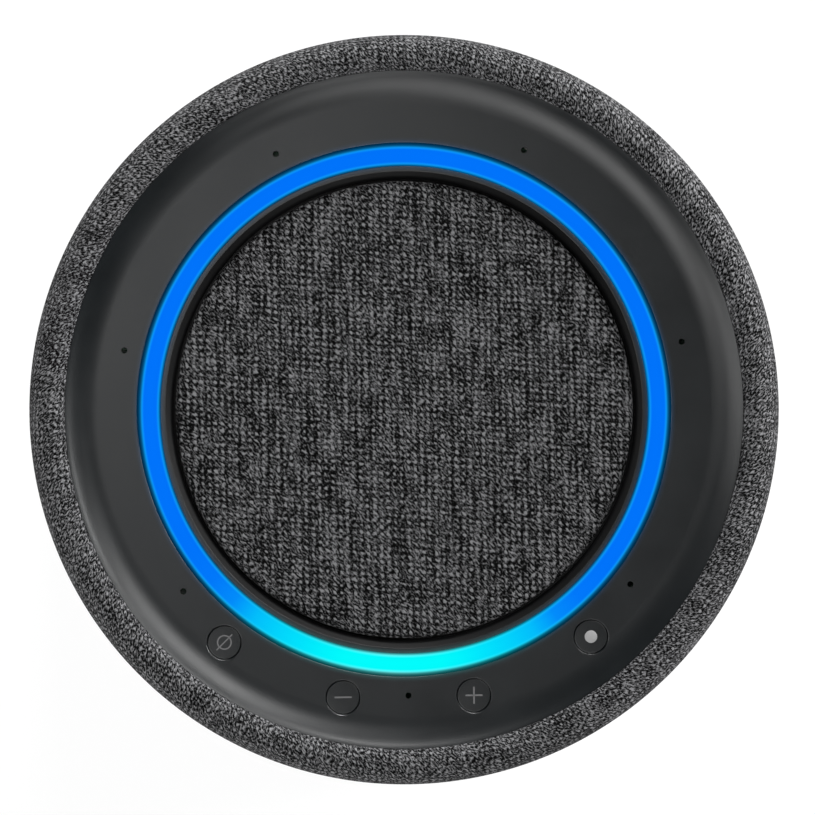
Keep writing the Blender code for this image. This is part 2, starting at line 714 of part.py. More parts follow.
def tweeter():
    plate = [(13.3, -1.2), (17, 0), (19, 0), (19, -2), (13.3, -2)]
    turned("tweeter_plate", plate, BLACK, COARSE, FRONT)
    motor = [(0, -2.8), (11.5, -2.8), (11.5, -8), (13.5, -8), (13.5, -2.8), (17, -2.8), (17, -13), (0, -13)]
    turned("tweeter_magnet", motor, MAGNET, COARSE, FRONT)
    dome = [(0, 2.6), (6.5, 1.9), (11, -0.2), (12.8, -2.2), (12.8, -6)]
    dome += [(12.2, -6), (12.2, -2.4), (10.6, -0.7), (6.3, 1.3), (0, 2.0)]
    turned("tweeter_dome", dome, ALUMINIUM, COARSE, FRONT)


def woofer():
    """The 133 mm woofer, firing down into the aperture."""
    basket = [(58.6, 0), (67, 0), (67, -3), (62.6, -3), (46, -24), (46, -30), (20, -30)]
    basket += [(20, -27.5), (43.6, -27.5), (43.6, -23.2), (58.6, -3.6)]
    frame = turned("woofer_frame", basket, BLACK, MEDIUM, DOWN)
    middle_z = DOWN.translation.z / MM + 13.5
    windows = 4
    for i in range(windows):
        angle = i * 360 / windows
        opening = block(f"basket_window_{i}", (26, 30, 12), on_circle(54, angle, middle_z), None, CUTTERS, turn=angle)
        cut(frame, opening)
    motor = [(0, -30.3), (11.7, -30.3), (11.7, -45), (14.6, -45), (14.6, -30.3), (27, -30.3)]
    motor += [(27, -48), (0, -48)]
    turned("woofer_magnet", motor, MAGNET, MEDIUM, DOWN)
    cone = [(0, -11.5), (10, -13.2), (18, -18), (47, -0.6), (47, -1.6), (13.5, -23)]
    cone += [(13.5, -38), (12.5, -38), (12.5, -20.6), (9.5, -14.2), (0, -12.5)]
    turned("woofer_cone", cone, PAPER, MEDIUM, DOWN)
    outer_roll = ellipse(52.7, -0.6, 5.0, 4.6, 180, 0, 4)
    inner_roll = ellipse(52.7, -1.5, 5.0, 4.4, 0, 180, 4)
    roll = outer_roll + [(58.1, -0.6), (58.1, -1.5)] + inner_roll
    turned("woofer_surround", roll, RUBBER, MEDIUM, DOWN)
    spider = [(13.9, -24.4), (23, -25.2), (33, -24.2), (43.2, -25)]
    below = [(radius, height - 0.8) for radius, height in reversed(spider)]
    turned("woofer_spider", spider + below, SPIDER, MEDIUM, DOWN)


def main_electronics():
    block("main_board", (72, 1.6, 62), (0, 60.8, 147), BOARD)
    block("processor_shield", (34, 2, 30), (0, 58.7, 148), STEEL)
    fins, pitch, fin_t, root_y, tip_y = 9, 6.2, 2.0, 64.2, 73.0
    half = (fins - 1) / 2 * pitch + fin_t / 2
    comb = [(-half, root_y - 2.3), (half, root_y - 2.3)]
    for i in reversed(range(fins)):
        middle = (i - (fins - 1) / 2) * pitch
        comb += [(middle + fin_t / 2, tip_y), (middle - fin_t / 2, tip_y)]
        if i:
            comb += [(middle - fin_t / 2, root_y), (middle - pitch + fin_t / 2, root_y)]
    outline_along("heatsink", comb, 122, 168, "Z", ALUMINIUM)
    ribbon = [(61.9, 174), (65.9, 174), (66.4, 174.5), (66.4, 191.2), (65.9, 191.2), (65.9, 174.5), (61.9, 174.5)]
    outline_along("ribbon_cable", ribbon, 15, 27, "X", WIRE)


def freeze(made):
    """Keeps the shape that the modifiers make, smooth but for its real edges."""
    graph = bpy.context.evaluated_depsgraph_get()
    mesh = bpy.data.meshes.new_from_object(made.evaluated_get(graph))
    made.modifiers.clear()
    made.data = mesh
    mesh.shade_smooth()
    mesh.set_sharp_from_angle(angle=math.radians(30))


def build():
    fabric_sleeve()
    outer_grille()
    base_housing()
    aperture_liner()
    base()
    connectors()
    power_supply()
    top_bezel()
    light_ring()
    centre_speaker_cover()
    for name in BUTTON_STEPS:
        button_and_switch(name)
    top_board()
    cabinet()
    for name, place in (("right", RIGHT), ("left", LEFT), ("top", UP)):
        mid_driver(name, place)
    tweeter()
    woofer()
    main_electronics()
    bpy.context.view_layer.update()
    for made in list(HUB.objects):
        freeze(made)


build()
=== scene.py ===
"""The looks of a smart home hub: knitted sleeve, dished plastic top, light ring, cloth disc, four buttons.

Lengths are millimetres until MM turns them into metres, and the lamps and the camera are placed in metres.
+Z is up and the front of the hub faces -Y.
"""

import json
import math

import bmesh
import bpy
from mathutils import Matrix, Vector

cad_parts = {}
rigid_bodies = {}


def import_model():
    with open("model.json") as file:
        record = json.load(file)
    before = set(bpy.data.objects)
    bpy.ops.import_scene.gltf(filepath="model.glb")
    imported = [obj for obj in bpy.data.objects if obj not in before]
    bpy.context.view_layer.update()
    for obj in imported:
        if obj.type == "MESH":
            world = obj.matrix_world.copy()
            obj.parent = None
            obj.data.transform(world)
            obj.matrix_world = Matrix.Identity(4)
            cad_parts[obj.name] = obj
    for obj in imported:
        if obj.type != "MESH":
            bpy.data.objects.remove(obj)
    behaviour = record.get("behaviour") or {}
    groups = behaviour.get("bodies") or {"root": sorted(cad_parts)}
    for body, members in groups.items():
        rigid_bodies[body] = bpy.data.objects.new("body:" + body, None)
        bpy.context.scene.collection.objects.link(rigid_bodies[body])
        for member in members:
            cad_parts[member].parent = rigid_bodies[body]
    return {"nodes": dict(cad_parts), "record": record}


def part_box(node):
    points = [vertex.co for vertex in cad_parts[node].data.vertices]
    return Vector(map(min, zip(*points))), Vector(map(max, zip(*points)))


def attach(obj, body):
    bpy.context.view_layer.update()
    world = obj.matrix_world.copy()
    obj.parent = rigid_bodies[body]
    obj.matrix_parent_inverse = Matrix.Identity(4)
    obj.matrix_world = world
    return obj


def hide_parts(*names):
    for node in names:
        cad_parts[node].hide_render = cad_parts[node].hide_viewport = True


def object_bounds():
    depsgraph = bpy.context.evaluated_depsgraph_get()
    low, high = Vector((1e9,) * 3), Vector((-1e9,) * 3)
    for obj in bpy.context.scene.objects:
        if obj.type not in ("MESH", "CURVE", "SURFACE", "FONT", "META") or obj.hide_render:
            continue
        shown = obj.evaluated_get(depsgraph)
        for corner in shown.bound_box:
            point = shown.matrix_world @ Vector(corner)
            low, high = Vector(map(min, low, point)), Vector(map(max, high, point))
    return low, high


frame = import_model()
CAD_BOX = [list(corner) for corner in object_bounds()]

MM = 0.001
TAU = math.tau

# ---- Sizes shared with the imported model, read from it where it states them ----------------------
HEIGHT = CAD_BOX[1][2] / MM
OUTER_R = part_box("fabric_sleeve")[1].x / MM
TOP_FLAT_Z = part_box("light_ring")[1].z / MM
BEZEL_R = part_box("top_bezel")[1].x / MM
BEZEL_EDGE_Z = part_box("top_bezel")[1].z / MM
CLOTH_DISC_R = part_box("top_cloth")[1].x / MM
CLOTH_TOP_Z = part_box("top_cloth")[1].z / MM
LIP_CREST_R = 82.6  # the sleeve's highest circle
TOP_ROUND = 8.0  # how far down its wall the top edge rolls over
BOTTOM_R = 81.5  # where its bottom edge ends, under the base
BOTTOM_ROUND = 7.4
BOTTOM_Z = 3.6
CLOTH_T = 1.0
HEM_GAP = 0.08  # between the sleeve's upper hem and the bezel
HEM_DROP = 0.06  # how far below the bezel's edge the sleeve appears
HEM_TUCK = 0.4  # how far that hem reaches below the bezel's flat
LIP_INNER_R = 55.65  # the grey lip of the trim
LIP_OUTER_R = 56.75
RING_INNER_R = 56.8
RING_OUTER_R = 62.3
GLOW_R = 59.27  # middle of the lit band
BEZEL_INNER_R = 62.35
SHOULDER_R = 71.3  # where the bezel's flat starts to climb
STEP_DEG = 360.0 / 14
BUTTON_CIRCLE_R = 68.57
BUTTON_HOLE_R = 4.0
BUTTON_R = 3.9
BUTTON_CROWN_R = 3.6
MIC_CIRCLE_R = 66.67
MIC_HOLE_R = 0.7
BUTTON_STEPS = {"mute": -1.5, "volume_down": -0.5, "volume_up": 0.5, "action": 1.5}

STITCH = 1.6  # pitch of the knit
SLEEVE_COLUMNS = 344  # stitches round the hub
SLEEVE_ROW_TILT = 36 / SLEEVE_COLUMNS
FACETS = 256


# ---- Mesh helpers -------------------------------------------------------------------------------
def add_mesh(name, verts, faces, *materials):
    """A mesh object from points in millimetres."""
    mesh = bpy.data.meshes.new(name)
    mesh.from_pydata([(x * MM, y * MM, z * MM) for x, y, z in verts], [], faces)
    mesh.update()
    made = bpy.data.objects.new(name, mesh)
    bpy.context.scene.collection.objects.link(made)
    for material in materials:
        mesh.materials.append(material)
    return made


def baked(made):
    """Keeps the shape that made's modifiers give it."""
    bpy.context.view_layer.update()
    graph = bpy.context.evaluated_depsgraph_get()
    mesh = bpy.data.meshes.new_from_object(made.evaluated_get(graph))
    made.modifiers.clear()
    made.data = mesh
    return made


def smooth(made, degrees=35.0):
    """Smooth shading: edges sharper than the angle stay, and flats stay flat up to their fillets."""
    made.data.shade_smooth()
    made.data.set_sharp_from_angle(angle=math.radians(degrees))
    evened = made.modifiers.new("even", "WEIGHTED_NORMAL")
    evened.keep_sharp = True
    evened.weight = 90
    return baked(made)


def arc(centre_r, centre_z, across, up, first_deg, last_deg, steps):
    """Points of an ellipse with half-axes across and up, from one angle to another."""
    found = []
    for i in range(steps + 1):
        angle = math.radians(first_deg + (last_deg - first_deg) * i / steps)
        found.append((centre_r + across * math.cos(angle), centre_z + up * math.sin(angle)))
    return found


def bend_radius(run, rise):
    """Radius of an arc that starts level and climbs by rise over run."""
    return (run**2 + rise**2) / (2 * rise)


def rounded(corners, steps=4):
    """A closed outline with its corners rounded: each corner is (r, z) or (r, z, radius)."""
    found = []
    count = len(corners)
    for i, corner in enumerate(corners):
        here = Vector(corner[:2])
        radius = corner[2] if len(corner) > 2 else 0.0
        if not radius:
            found.append(tuple(here))
            continue
        back = (Vector(corners[i - 1][:2]) - here).normalized()
        ahead = (Vector(corners[(i + 1) % count][:2]) - here).normalized()
        half = back.angle(ahead) / 2
        reach = radius / math.tan(half)
        centre = here + (back + ahead).normalized() * (radius / math.sin(half))
        start = here + back * reach - centre
        end = here + ahead * reach - centre
        turn = math.atan2(start.x * end.y - start.y * end.x, start.dot(end))
        for k in range(steps + 1):
            angle = turn * k / steps
            c, s = math.cos(angle), math.sin(angle)
            found.append((centre.x + start.x * c - start.y * s, centre.y + start.x * s + start.y * c))
    return found


def stitch_at(weave, along, turn):
    """Stitch coordinates at a length along a cloth's profile and a share of a turn round its axis."""
    if weave == "sleeve":
        return (turn * SLEEVE_COLUMNS, -along / STITCH)
    return (along * math.cos(TAU * turn) / STITCH, along * math.sin(TAU * turn) / STITCH)


def lathe(name, profile, *materials, facets=FACETS, weave=None, slots=None):
    """Turns a profile of (radius, height) points round Z.

    Points on the axis end the profile, and otherwise it closes on itself. weave is "sleeve" or "disc"
    for a cloth, which gets stitch coordinates. slots gives each profile step's material index.
    """
    on_axis = profile[0][0] == 0.0
    rings, verts, lengths, run = [], [], [], 0.0
    for i, (radius, height) in enumerate(profile):
        if i:
            run += math.dist(profile[i - 1], (radius, height))
        lengths.append(run)
        if radius == 0.0:
            rings.append([len(verts)] * facets)
            verts.append((0.0, 0.0, height))
        else:
            rings.append(list(range(len(verts), len(verts) + facets)))
            turns = [TAU * k / facets for k in range(facets)]
            verts += [(radius * math.cos(a), radius * math.sin(a), height) for a in turns]
    if not on_axis:
        lengths.append(run + math.dist(profile[-1], profile[0]))
    faces, spots = [], []
    for i in range(len(profile) - 1 if on_axis else len(profile)):
        upper, lower = rings[i], rings[(i + 1) % len(profile)]
        for k in range(facets):
            n = (k + 1) % facets
            corners = [(upper[k], 0, 0), (lower[k], 1, 0), (lower[n], 1, 1), (upper[n], 0, 1)]
            kept = [corner for j, corner in enumerate(corners) if corner[0] != corners[j - 1][0]]
            if len(kept) > 2:
                faces.append([vertex for vertex, _, _ in kept])
                spots.append((i, [(lengths[i + down], (k + ahead) / facets) for _, down, ahead in kept]))
    made = add_mesh(name, verts, faces, *materials)
    if slots:
        for face, (i, _) in zip(made.data.polygons, spots):
            face.material_index = slots[i]
    if weave:
        layer = made.data.uv_layers.new(name="weave")
        for face, (_, ends) in zip(made.data.polygons, spots):
            for loop, (along, turn) in zip(face.loop_indices, ends):
                layer.data[loop].uv = stitch_at(weave, along, turn)
    return made


def place(made, matrix):
    """Moves the mesh itself, so the object stays at the origin."""
    made.data.transform(matrix)
    return made


def cut(target, *tools):
    """Takes the tools' shapes out of target, for good."""
    for tool in tools:
        modifier = target.modifiers.new("cut", "BOOLEAN")
        modifier.operation = "DIFFERENCE"
        modifier.solver = "EXACT"
        modifier.object = tool
        if tool.data.materials:
            modifier.material_mode = "TRANSFER"
    baked(target)
    for tool in tools:
        bpy.data.objects.remove(tool, do_unlink=True)
    return target


def on_circle(radius, degrees, height=0.0):
    """The point that far round Z, anticlockwise from +X."""
    angle = math.radians(degrees)
    return Vector((radius * math.cos(angle), radius * math.sin(angle), height))


def stadium(width, height, corner, steps, centre=(0.0, 0.0), along=0):
    """Points of a rectangle with round corners, anticlockwise, each with its outward normal.

    along is the number of extra points on each long side, which let it follow a curved wall.
    """
    found = []
    for quarter in range(4):
        middle = math.radians(90 * quarter + 45)
        x = centre[0] + math.copysign(width / 2 - corner, math.cos(middle))
        z = centre[1] + math.copysign(height / 2 - corner, math.sin(middle))
        for i in range(steps + 1):
            angle = math.radians(90 * (quarter + i / steps))
            normal = (math.cos(angle), math.sin(angle))
            found.append((x + corner * normal[0], z + corner * normal[1], *normal))
        if quarter in (0, 2):
            x, z, nx, nz = found[-1]
            span = 2 * (centre[0] - x)
            found += [(x + span * (i + 1) / (along + 1), z, nx, nz) for i in range(along)]
    return found


def skin_y(x):
    """How far the round skin is from the XZ plane at x."""
    return math.sqrt(max(OUTER_R**2 - x * x, 1.0))


def loft(name, outline, stations, *materials, capped=True):
    """Rings of an XZ outline, with a cap at each end or closed on themselves.

    A station is (kind, offset, y): kind "front" or "back" measures y out from the round skin on that
    side, and "plane" takes it as it is. offset widens the outline. The outline's upper and lower halves
    mirror each other, so a cap is a ladder of strips from one to the other.
    """
    verts, faces = [], []
    count = len(outline)
    for kind, offset, y in stations:
        for x, z, nx, nz in outline:
            px, pz = x + nx * offset, z + nz * offset
            if kind == "plane":
                py = y
            else:
                py = (skin_y(px) + y) * (-1 if kind == "front" else 1)
            verts.append((px, py, pz))
    rings = len(stations)
    for i in range(rings - 1 if capped else rings):
        a, b = i * count, (i + 1) % rings * count
        for k in range(count):
            n = (k + 1) % count
            faces.append([a + k, a + n, b + n, b + k])
    if capped:
        for first in (0, (rings - 1) * count):
            for k in range(count // 2 - 1):
                faces.append([first + k, first + k + 1, first + count - 2 - k, first + count - 1 - k])
    made = add_mesh(name, verts, faces, *materials)
    shape = bmesh.new()
    shape.from_mesh(made.data)
    bmesh.ops.remove_doubles(shape, verts=shape.verts, dist=1e-7)
    bmesh.ops.recalc_face_normals(shape, faces=shape.faces)
    shape.to_mesh(made.data)
    shape.free()
    return made


def stations_at(kind, spots):
    """Stations of one kind, from (offset, y) pairs."""
    return [(kind, offset, y) for offset, y in spots]


def bar(name, outline, start_y, end_y):
    """A straight cutter with an XZ outline."""
    return loft(name, outline, stations_at("plane", [(0, start_y), (0, end_y)]))


def rod(name, start, end, radius, facets):
    """A plain round cutter."""
    start, end = Vector(start), Vector(end)
    along = end - start
    half = along.length / 2
    made = lathe(name, [(0, half), (radius, half), (radius, -half), (0, -half)], facets=facets)
    middle = Matrix.Translation((start + end) / 2 * MM)
    return place(made, middle @ along.to_track_quat("Z", "Y").to_matrix().to_4x4())


def ride(made, body, slot, *nodes):
    """Puts a piece on a body, in place of the nodes it stands for. Its slot is not used."""
    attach(made, body)
    if nodes:
        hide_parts(*nodes)
    return made


# ---- Materials ----------------------------------------------------------------------------------
class Graph:
    """A material's nodes, with a short way to write each kind."""

    def __init__(self, name):
        self.material = bpy.data.materials.new(name)
        self.material.use_nodes = True
        self.nodes = self.material.node_tree.nodes
        self.links = self.material.node_tree.links
        self.shader = self.nodes["Principled BSDF"]

    def add(self, kind, settings=None, **inputs):
        """A new node, with its settings, and with a value or a link for each input."""
        node = self.nodes.new(kind)
        for key, value in (settings or {}).items():
            setattr(node, key, value)
        for key, value in inputs.items():
            self.put(node.inputs[key.replace("_", " ")], value)
        return node

    def put(self, socket, value):
        """Links an output to the socket, or sets its value."""
        if isinstance(value, bpy.types.NodeSocket):
            self.links.new(value, socket)
        else:
            socket.default_value = value

    def calc(self, operation, *values):
        """The result of one maths operation."""
        node = self.add("ShaderNodeMath", {"operation": operation})
        for socket, value in zip(node.inputs, values):
            self.put(socket, value)
        return node.outputs[0]

    def objects(self):
        return self.add("ShaderNodeTexCoord").outputs["Object"]

    def stretch(self, vector, scale):
        return self.add("ShaderNodeMapping", Vector=vector, Scale=scale).outputs[0]

    def split(self, vector):
        return self.add("ShaderNodeSeparateXYZ", Vector=vector).outputs

    def join(self, x, y, z=0.0):
        return self.add("ShaderNodeCombineXYZ", X=x, Y=y, Z=z).outputs[0]

    def noise(self, vector, scale, detail=2.0, roughness=0.5):
        return self.add(
            "ShaderNodeTexNoise", Vector=vector, Scale=scale, Detail=detail, Roughness=roughness
        ).outputs

    def fit(self, value, low, high, to_low=0.0, to_high=1.0, soft=False):
        """Carries the range low to high over to another one."""
        node = self.add(
            "ShaderNodeMapRange", {"interpolation_type": "SMOOTHSTEP" if soft else "LINEAR"}, Value=value
        )
        node.inputs["From Min"].default_value = low
        node.inputs["From Max"].default_value = high
        node.inputs["To Min"].default_value = to_low
        node.inputs["To Max"].default_value = to_high
        return node.outputs[0]

    def blend(self, factor, a, b):
        node = self.add("ShaderNodeMix", {"data_type": "RGBA"})
        self.put(node.inputs["Factor"], factor)
        self.put(node.inputs[6], a)
        self.put(node.inputs[7], b)
        return node.outputs[2]

    def ramp(self, value, stops):
        node = self.add("ShaderNodeValToRGB", Fac=value)
        points = node.color_ramp.elements
        while len(points) < len(stops):
            points.new(0.5)
        for point, (at, colour) in zip(points, stops):
            point.position = at
            point.color = colour
        return node.outputs[0]

    def bump(self, height, distance, strength=1.0):
        node = self.add("ShaderNodeBump", Height=height, Distance=distance, Strength=strength)
        self.put(self.shader.inputs["Normal"], node.outputs[0])

    def set(self, **inputs):
        """Sets or links inputs of the shader itself."""
        for key, value in inputs.items():
            self.put(self.shader.inputs[key.replace("_", " ")], value)


def grey(value, blue=1.0):
    return (value, value, value * blue, 1.0)


def rgb(red, green, blue):
    """An 8-bit display colour as the linear one the shader takes."""
    found = []
    for channel in (red, green, blue):
        c = channel / 255
        found.append(c / 12.92 if c <= 0.04045 else ((c + 0.055) / 1.055) ** 2.4)
    return (*found, 1.0)


def knit(name, row_tilt, yarn_and_gap_shade, stitch_size, lattice, strands, fine, ribs, tones):
    """Heathered knit: a lattice of leaning stitches under fine slanted strands, in light and dark yarn.

    The colour list gives the reflectance from the deepest gap to the brightest fibre, and tones gives
    the relief at each end of it. The colour follows the relief, so the near-black gaps are painted shade
    over the light and dark yarn. lattice, strands and ribs are how strongly each shows. stitch_size is a
    stitch's reach across and along its lean, and fine is the strands' frequency the same two ways.
    """
    g = Graph(name)
    here = g.objects()
    u, v, _ = g.split(g.add("ShaderNodeUVMap", {"uv_map": "weave"}).outputs[0])
    wander = g.split(g.noise(here, 260.0, 1.0)["Color"])
    u = g.calc("MULTIPLY_ADD", g.calc("SUBTRACT", wander[0], 0.5), 0.4, u)
    v = g.calc("MULTIPLY_ADD", g.calc("SUBTRACT", wander[1], 0.5), 0.4, v)
    v = g.calc("MULTIPLY_ADD", u, row_tilt, v)
    cell = g.join(g.calc("FLOOR", u), g.calc("FLOOR", v))
    lot = g.add("ShaderNodeTexWhiteNoise", {"noise_dimensions": "2D"}, Vector=cell).outputs["Value"]
    fu = g.calc("SUBTRACT", g.calc("FRACT", u), 0.5)
    fv = g.calc("SUBTRACT", g.calc("FRACT", v), 0.5)
    across = g.calc("MULTIPLY", g.calc("ADD", fu, fv), math.sqrt(0.5) / stitch_size[0])
    along = g.calc("MULTIPLY", g.calc("SUBTRACT", fu, fv), math.sqrt(0.5) / stitch_size[1])
    spread = g.calc("SQRT", g.calc("MULTIPLY_ADD", across, across, g.calc("MULTIPLY", along, along)))
    stitch = g.calc("MULTIPLY", g.fit(spread, 1.3, 0.0, soft=True), g.fit(lot, 0.0, 1.0, 0.2, 1.0))
    leaning = g.join(
        g.calc("MULTIPLY", g.calc("ADD", u, v), fine[0]),
        g.calc("MULTIPLY", g.calc("SUBTRACT", u, v), fine[1]),
    )
    strand = g.calc("SUBTRACT", g.noise(leaning, 1.0, 1.0, 0.6)["Fac"], 0.5)
    patch = g.calc("SUBTRACT", g.noise(here, 200.0, 2.0, 0.6)["Fac"], 0.5)
    upright = g.join(g.calc("MULTIPLY", u, 1.1), g.calc("MULTIPLY", v, 0.12))
    rib = g.calc("SUBTRACT", g.noise(upright, 1.0, 1.0)["Fac"], 0.5)
    relief = g.calc("MULTIPLY_ADD", strand, strands, g.calc("MULTIPLY", stitch, lattice))
    yarn = g.calc("MULTIPLY_ADD", patch, 0.5, g.calc("MULTIPLY", rib, ribs))
    # The ramp darkens the low relief to near black: painted shade in the gaps between stitches, over the
    # yarn's own tones.
    tone = g.fit(g.calc("ADD", relief, yarn), *tones)
    places = (0.0, 0.07, 0.15, 0.19, 0.27, 0.36, 0.47, 0.61, 0.71, 0.91)
    g.set(
        Base_Color=g.ramp(tone, [(at, grey(shade, 1.03)) for at, shade in zip(places, yarn_and_gap_shade)]),
        Roughness=0.9,
        Specular_IOR_Level=0.05,
    )
    g.bump(relief, 0.0002, 0.5)
    return g.material


def moulded_graph(name, colour, roughness, grain=2600.0, depth=0.000012, mottle=0.12, specular=0.5):
    """Moulded plastic: spark-eroded grain, faint mottling, and shine that varies a little."""
    g = Graph(name)
    here = g.objects()
    cloud = g.noise(here, 60.0, 4.0, 0.55)["Fac"]
    fine = g.noise(here, grain, 2.0, 0.6)["Fac"]
    darker = tuple(c * (1 - mottle) for c in colour[:3]) + (1.0,)
    lighter = tuple(c * (1 + mottle) for c in colour[:3]) + (1.0,)
    worn = g.calc("MULTIPLY_ADD", fine, 0.5, g.calc("MULTIPLY", cloud, 0.5))
    g.set(
        Base_Color=g.blend(g.fit(cloud, 0.35, 0.65), darker, lighter),
        Roughness=g.fit(worn, 0.3, 0.7, roughness - 0.04, roughness + 0.05),
        Specular_IOR_Level=specular,
    )
    g.bump(fine, depth)
    return g


def moulded(name, colour, roughness, **look):
    """The finished material of moulded_graph."""
    return moulded_graph(name, colour, roughness, **look).material


def ring_colours(g, here):
    """(core colour, edge colour, radius in millimetres) of the light ring at each point."""
    x, y, _ = g.split(here)
    middle = math.radians(-93.6)
    c, s = math.cos(middle), math.sin(middle)
    ahead = g.calc("MULTIPLY_ADD", x, c, g.calc("MULTIPLY", y, s))
    aside = g.calc("MULTIPLY_ADD", x, -s, g.calc("MULTIPLY", y, c))
    away = g.calc("ABSOLUTE", g.calc("ARCTAN2", aside, ahead))
    away = g.calc("DIVIDE", away, math.radians(60))
    core = g.ramp(
        away,
        [
            (0.0, rgb(3, 253, 253)),
            (0.18, rgb(3, 252, 253)),
            (0.26, rgb(2, 243, 253)),
            (0.35, rgb(2, 228, 253)),
            (0.45, rgb(3, 212, 253)),
            (0.55, rgb(3, 190, 252)),
            (0.65, rgb(3, 141, 252)),
            (0.76, rgb(2, 121, 251)),
            (0.9, rgb(1, 116, 252)),
        ],
    )
    edge = g.ramp(
        away,
        [
            (0.0, rgb(112, 255, 255)),
            (0.2, rgb(72, 250, 255)),
            (0.4, rgb(30, 235, 255)),
            (0.62, rgb(20, 190, 255)),
            (0.85, rgb(18, 166, 255)),
        ],
    )
    radius = g.calc("SQRT", g.calc("MULTIPLY_ADD", x, x, g.calc("MULTIPLY", y, y)))
    return core, edge, g.calc("MULTIPLY", radius, 1000.0)


def lit_diffuser():
    """Clear middle over the lamps, fading where the diffuser runs under its neighbours."""
    g = Graph("lit_diffuser")
    here = g.objects()
    core, edge, radius = ring_colours(g, here)
    off = g.calc("ABSOLUTE", g.calc("SUBTRACT", radius, GLOW_R))
    rim = g.fit(off, 1.3, 2.2, soft=True)
    fade = g.ramp(
        g.calc("DIVIDE", off, 3.0),
        [
            (0.0, grey(1.0)),
            (0.6, grey(0.98)),
            (0.66, grey(0.74)),
            (0.75, grey(0.32)),
            (0.86, grey(0.13)),
            (0.97, grey(0.07)),
        ],
    )
    cloud = g.fit(g.noise(here, 90.0, 2.0)["Fac"], 0.3, 0.7, 0.985, 1.0)
    g.set(
        Base_Color=(0.0, 0.0, 0.0, 1.0),
        Roughness=0.5,
        Specular_IOR_Level=0.0,
        Emission_Color=g.blend(rim, core, edge),
        Emission_Strength=g.calc("MULTIPLY", cloud, fade),
    )
    return g.material


def plastic_with_painted_glow(name, colour, roughness, from_r, to_r, share):
    """Bezel plastic with the ring's light painted on as a glow at its edge, between two radii."""
    g = moulded_graph(name, colour, roughness, specular=0.45)
    _, edge, radius = ring_colours(g, g.objects())
    near = g.fit(radius, from_r, to_r, 1.0, 0.0)
    # Emission on the plastic: a painted glow that stands for the ring's light falling on it.
    painted_ring_light = g.calc("MULTIPLY", g.calc("MULTIPLY", near, near), share)
    g.set(Emission_Color=edge, Emission_Strength=painted_ring_light)
    return g.material


def metal(name, colour, roughness, lines=(900.0, 900.0, 40.0)):
    """Plated or drawn metal: fine lines in its shine."""
    g = Graph(name)
    here = g.objects()
    line = g.noise(g.stretch(here, lines), 1.0, 3.0, 0.6)["Fac"]
    cloud = g.noise(here, 80.0, 2.0)["Fac"]
    darker = tuple(c * 0.82 for c in colour[:3]) + (1.0,)
    g.set(
        Base_Color=g.blend(g.fit(cloud, 0.3, 0.7), darker, colour),
        Metallic=1.0,
        Roughness=g.fit(line, 0.3, 0.7, roughness - 0.08, roughness + 0.12),
    )
    g.bump(line, 0.000008)
    return g.material


def circuit_board(name):
    """Green solder mask over copper tracks, with tinned pads."""
    g = Graph(name)
    here = g.objects()
    x, y, z = g.split(here)
    at = g.join(g.calc("ADD", x, z), g.calc("ADD", y, z))
    tracks = g.add(
        "ShaderNodeTexBrick",
        {"offset": 0.35, "squash": 0.6},
        Vector=at,
        Scale=160.0,
        Mortar_Size=0.04,
    ).outputs["Fac"]
    pads = g.add("ShaderNodeTexVoronoi", {"feature": "F1"}, Vector=at, Scale=260.0, Randomness=0.4)
    pad = g.fit(pads.outputs["Distance"], 0.16, 0.13)
    board = g.blend(tracks, (0.010, 0.075, 0.030, 1.0), (0.018, 0.150, 0.055, 1.0))
    g.set(
        Base_Color=g.blend(pad, board, (0.55, 0.55, 0.52, 1.0)),
        Metallic=pad,
        Roughness=g.fit(g.noise(here, 700.0, 2.0)["Fac"], 0.3, 0.7, 0.32, 0.48),
    )
    g.bump(tracks, 0.00004)
    return g.material


CHARCOAL = (0.0010, 0.0020, 0.0026, 1.0)
RESIN = (0.42, 0.28, 0.10, 1.0)
# Knit colours from the deepest gap to the brightest fibre; the darkest are painted shade in the gaps
# between stitches.
DISC_YARN_AND_GAP_SHADE = (0.0001, 0.0004, 0.0013, 0.0026, 0.0075, 0.0185, 0.037, 0.062, 0.082, 0.125)
SLEEVE_YARN_AND_GAP_SHADE = (0.0002, 0.0008, 0.0026, 0.0048, 0.0120, 0.0260, 0.050, 0.080, 0.103, 0.150)
SLEEVE_KNIT = knit(
    "sleeve_knit",
    SLEEVE_ROW_TILT,
    SLEEVE_YARN_AND_GAP_SHADE,
    stitch_size=(0.26, 0.34),
    lattice=0.72,
    strands=2.3,
    fine=(2.9, 1.55),
    ribs=0.2,
    tones=(-0.295, 0.62),
)
DISC_KNIT = knit(
    "disc_knit",
    math.tan(math.radians(6.0)),
    DISC_YARN_AND_GAP_SHADE,
    stitch_size=(0.25, 0.34),
    lattice=0.95,
    strands=1.9,
    fine=(2.9, 1.4),
    ribs=0.6,
    tones=(-0.25, 0.57),
)
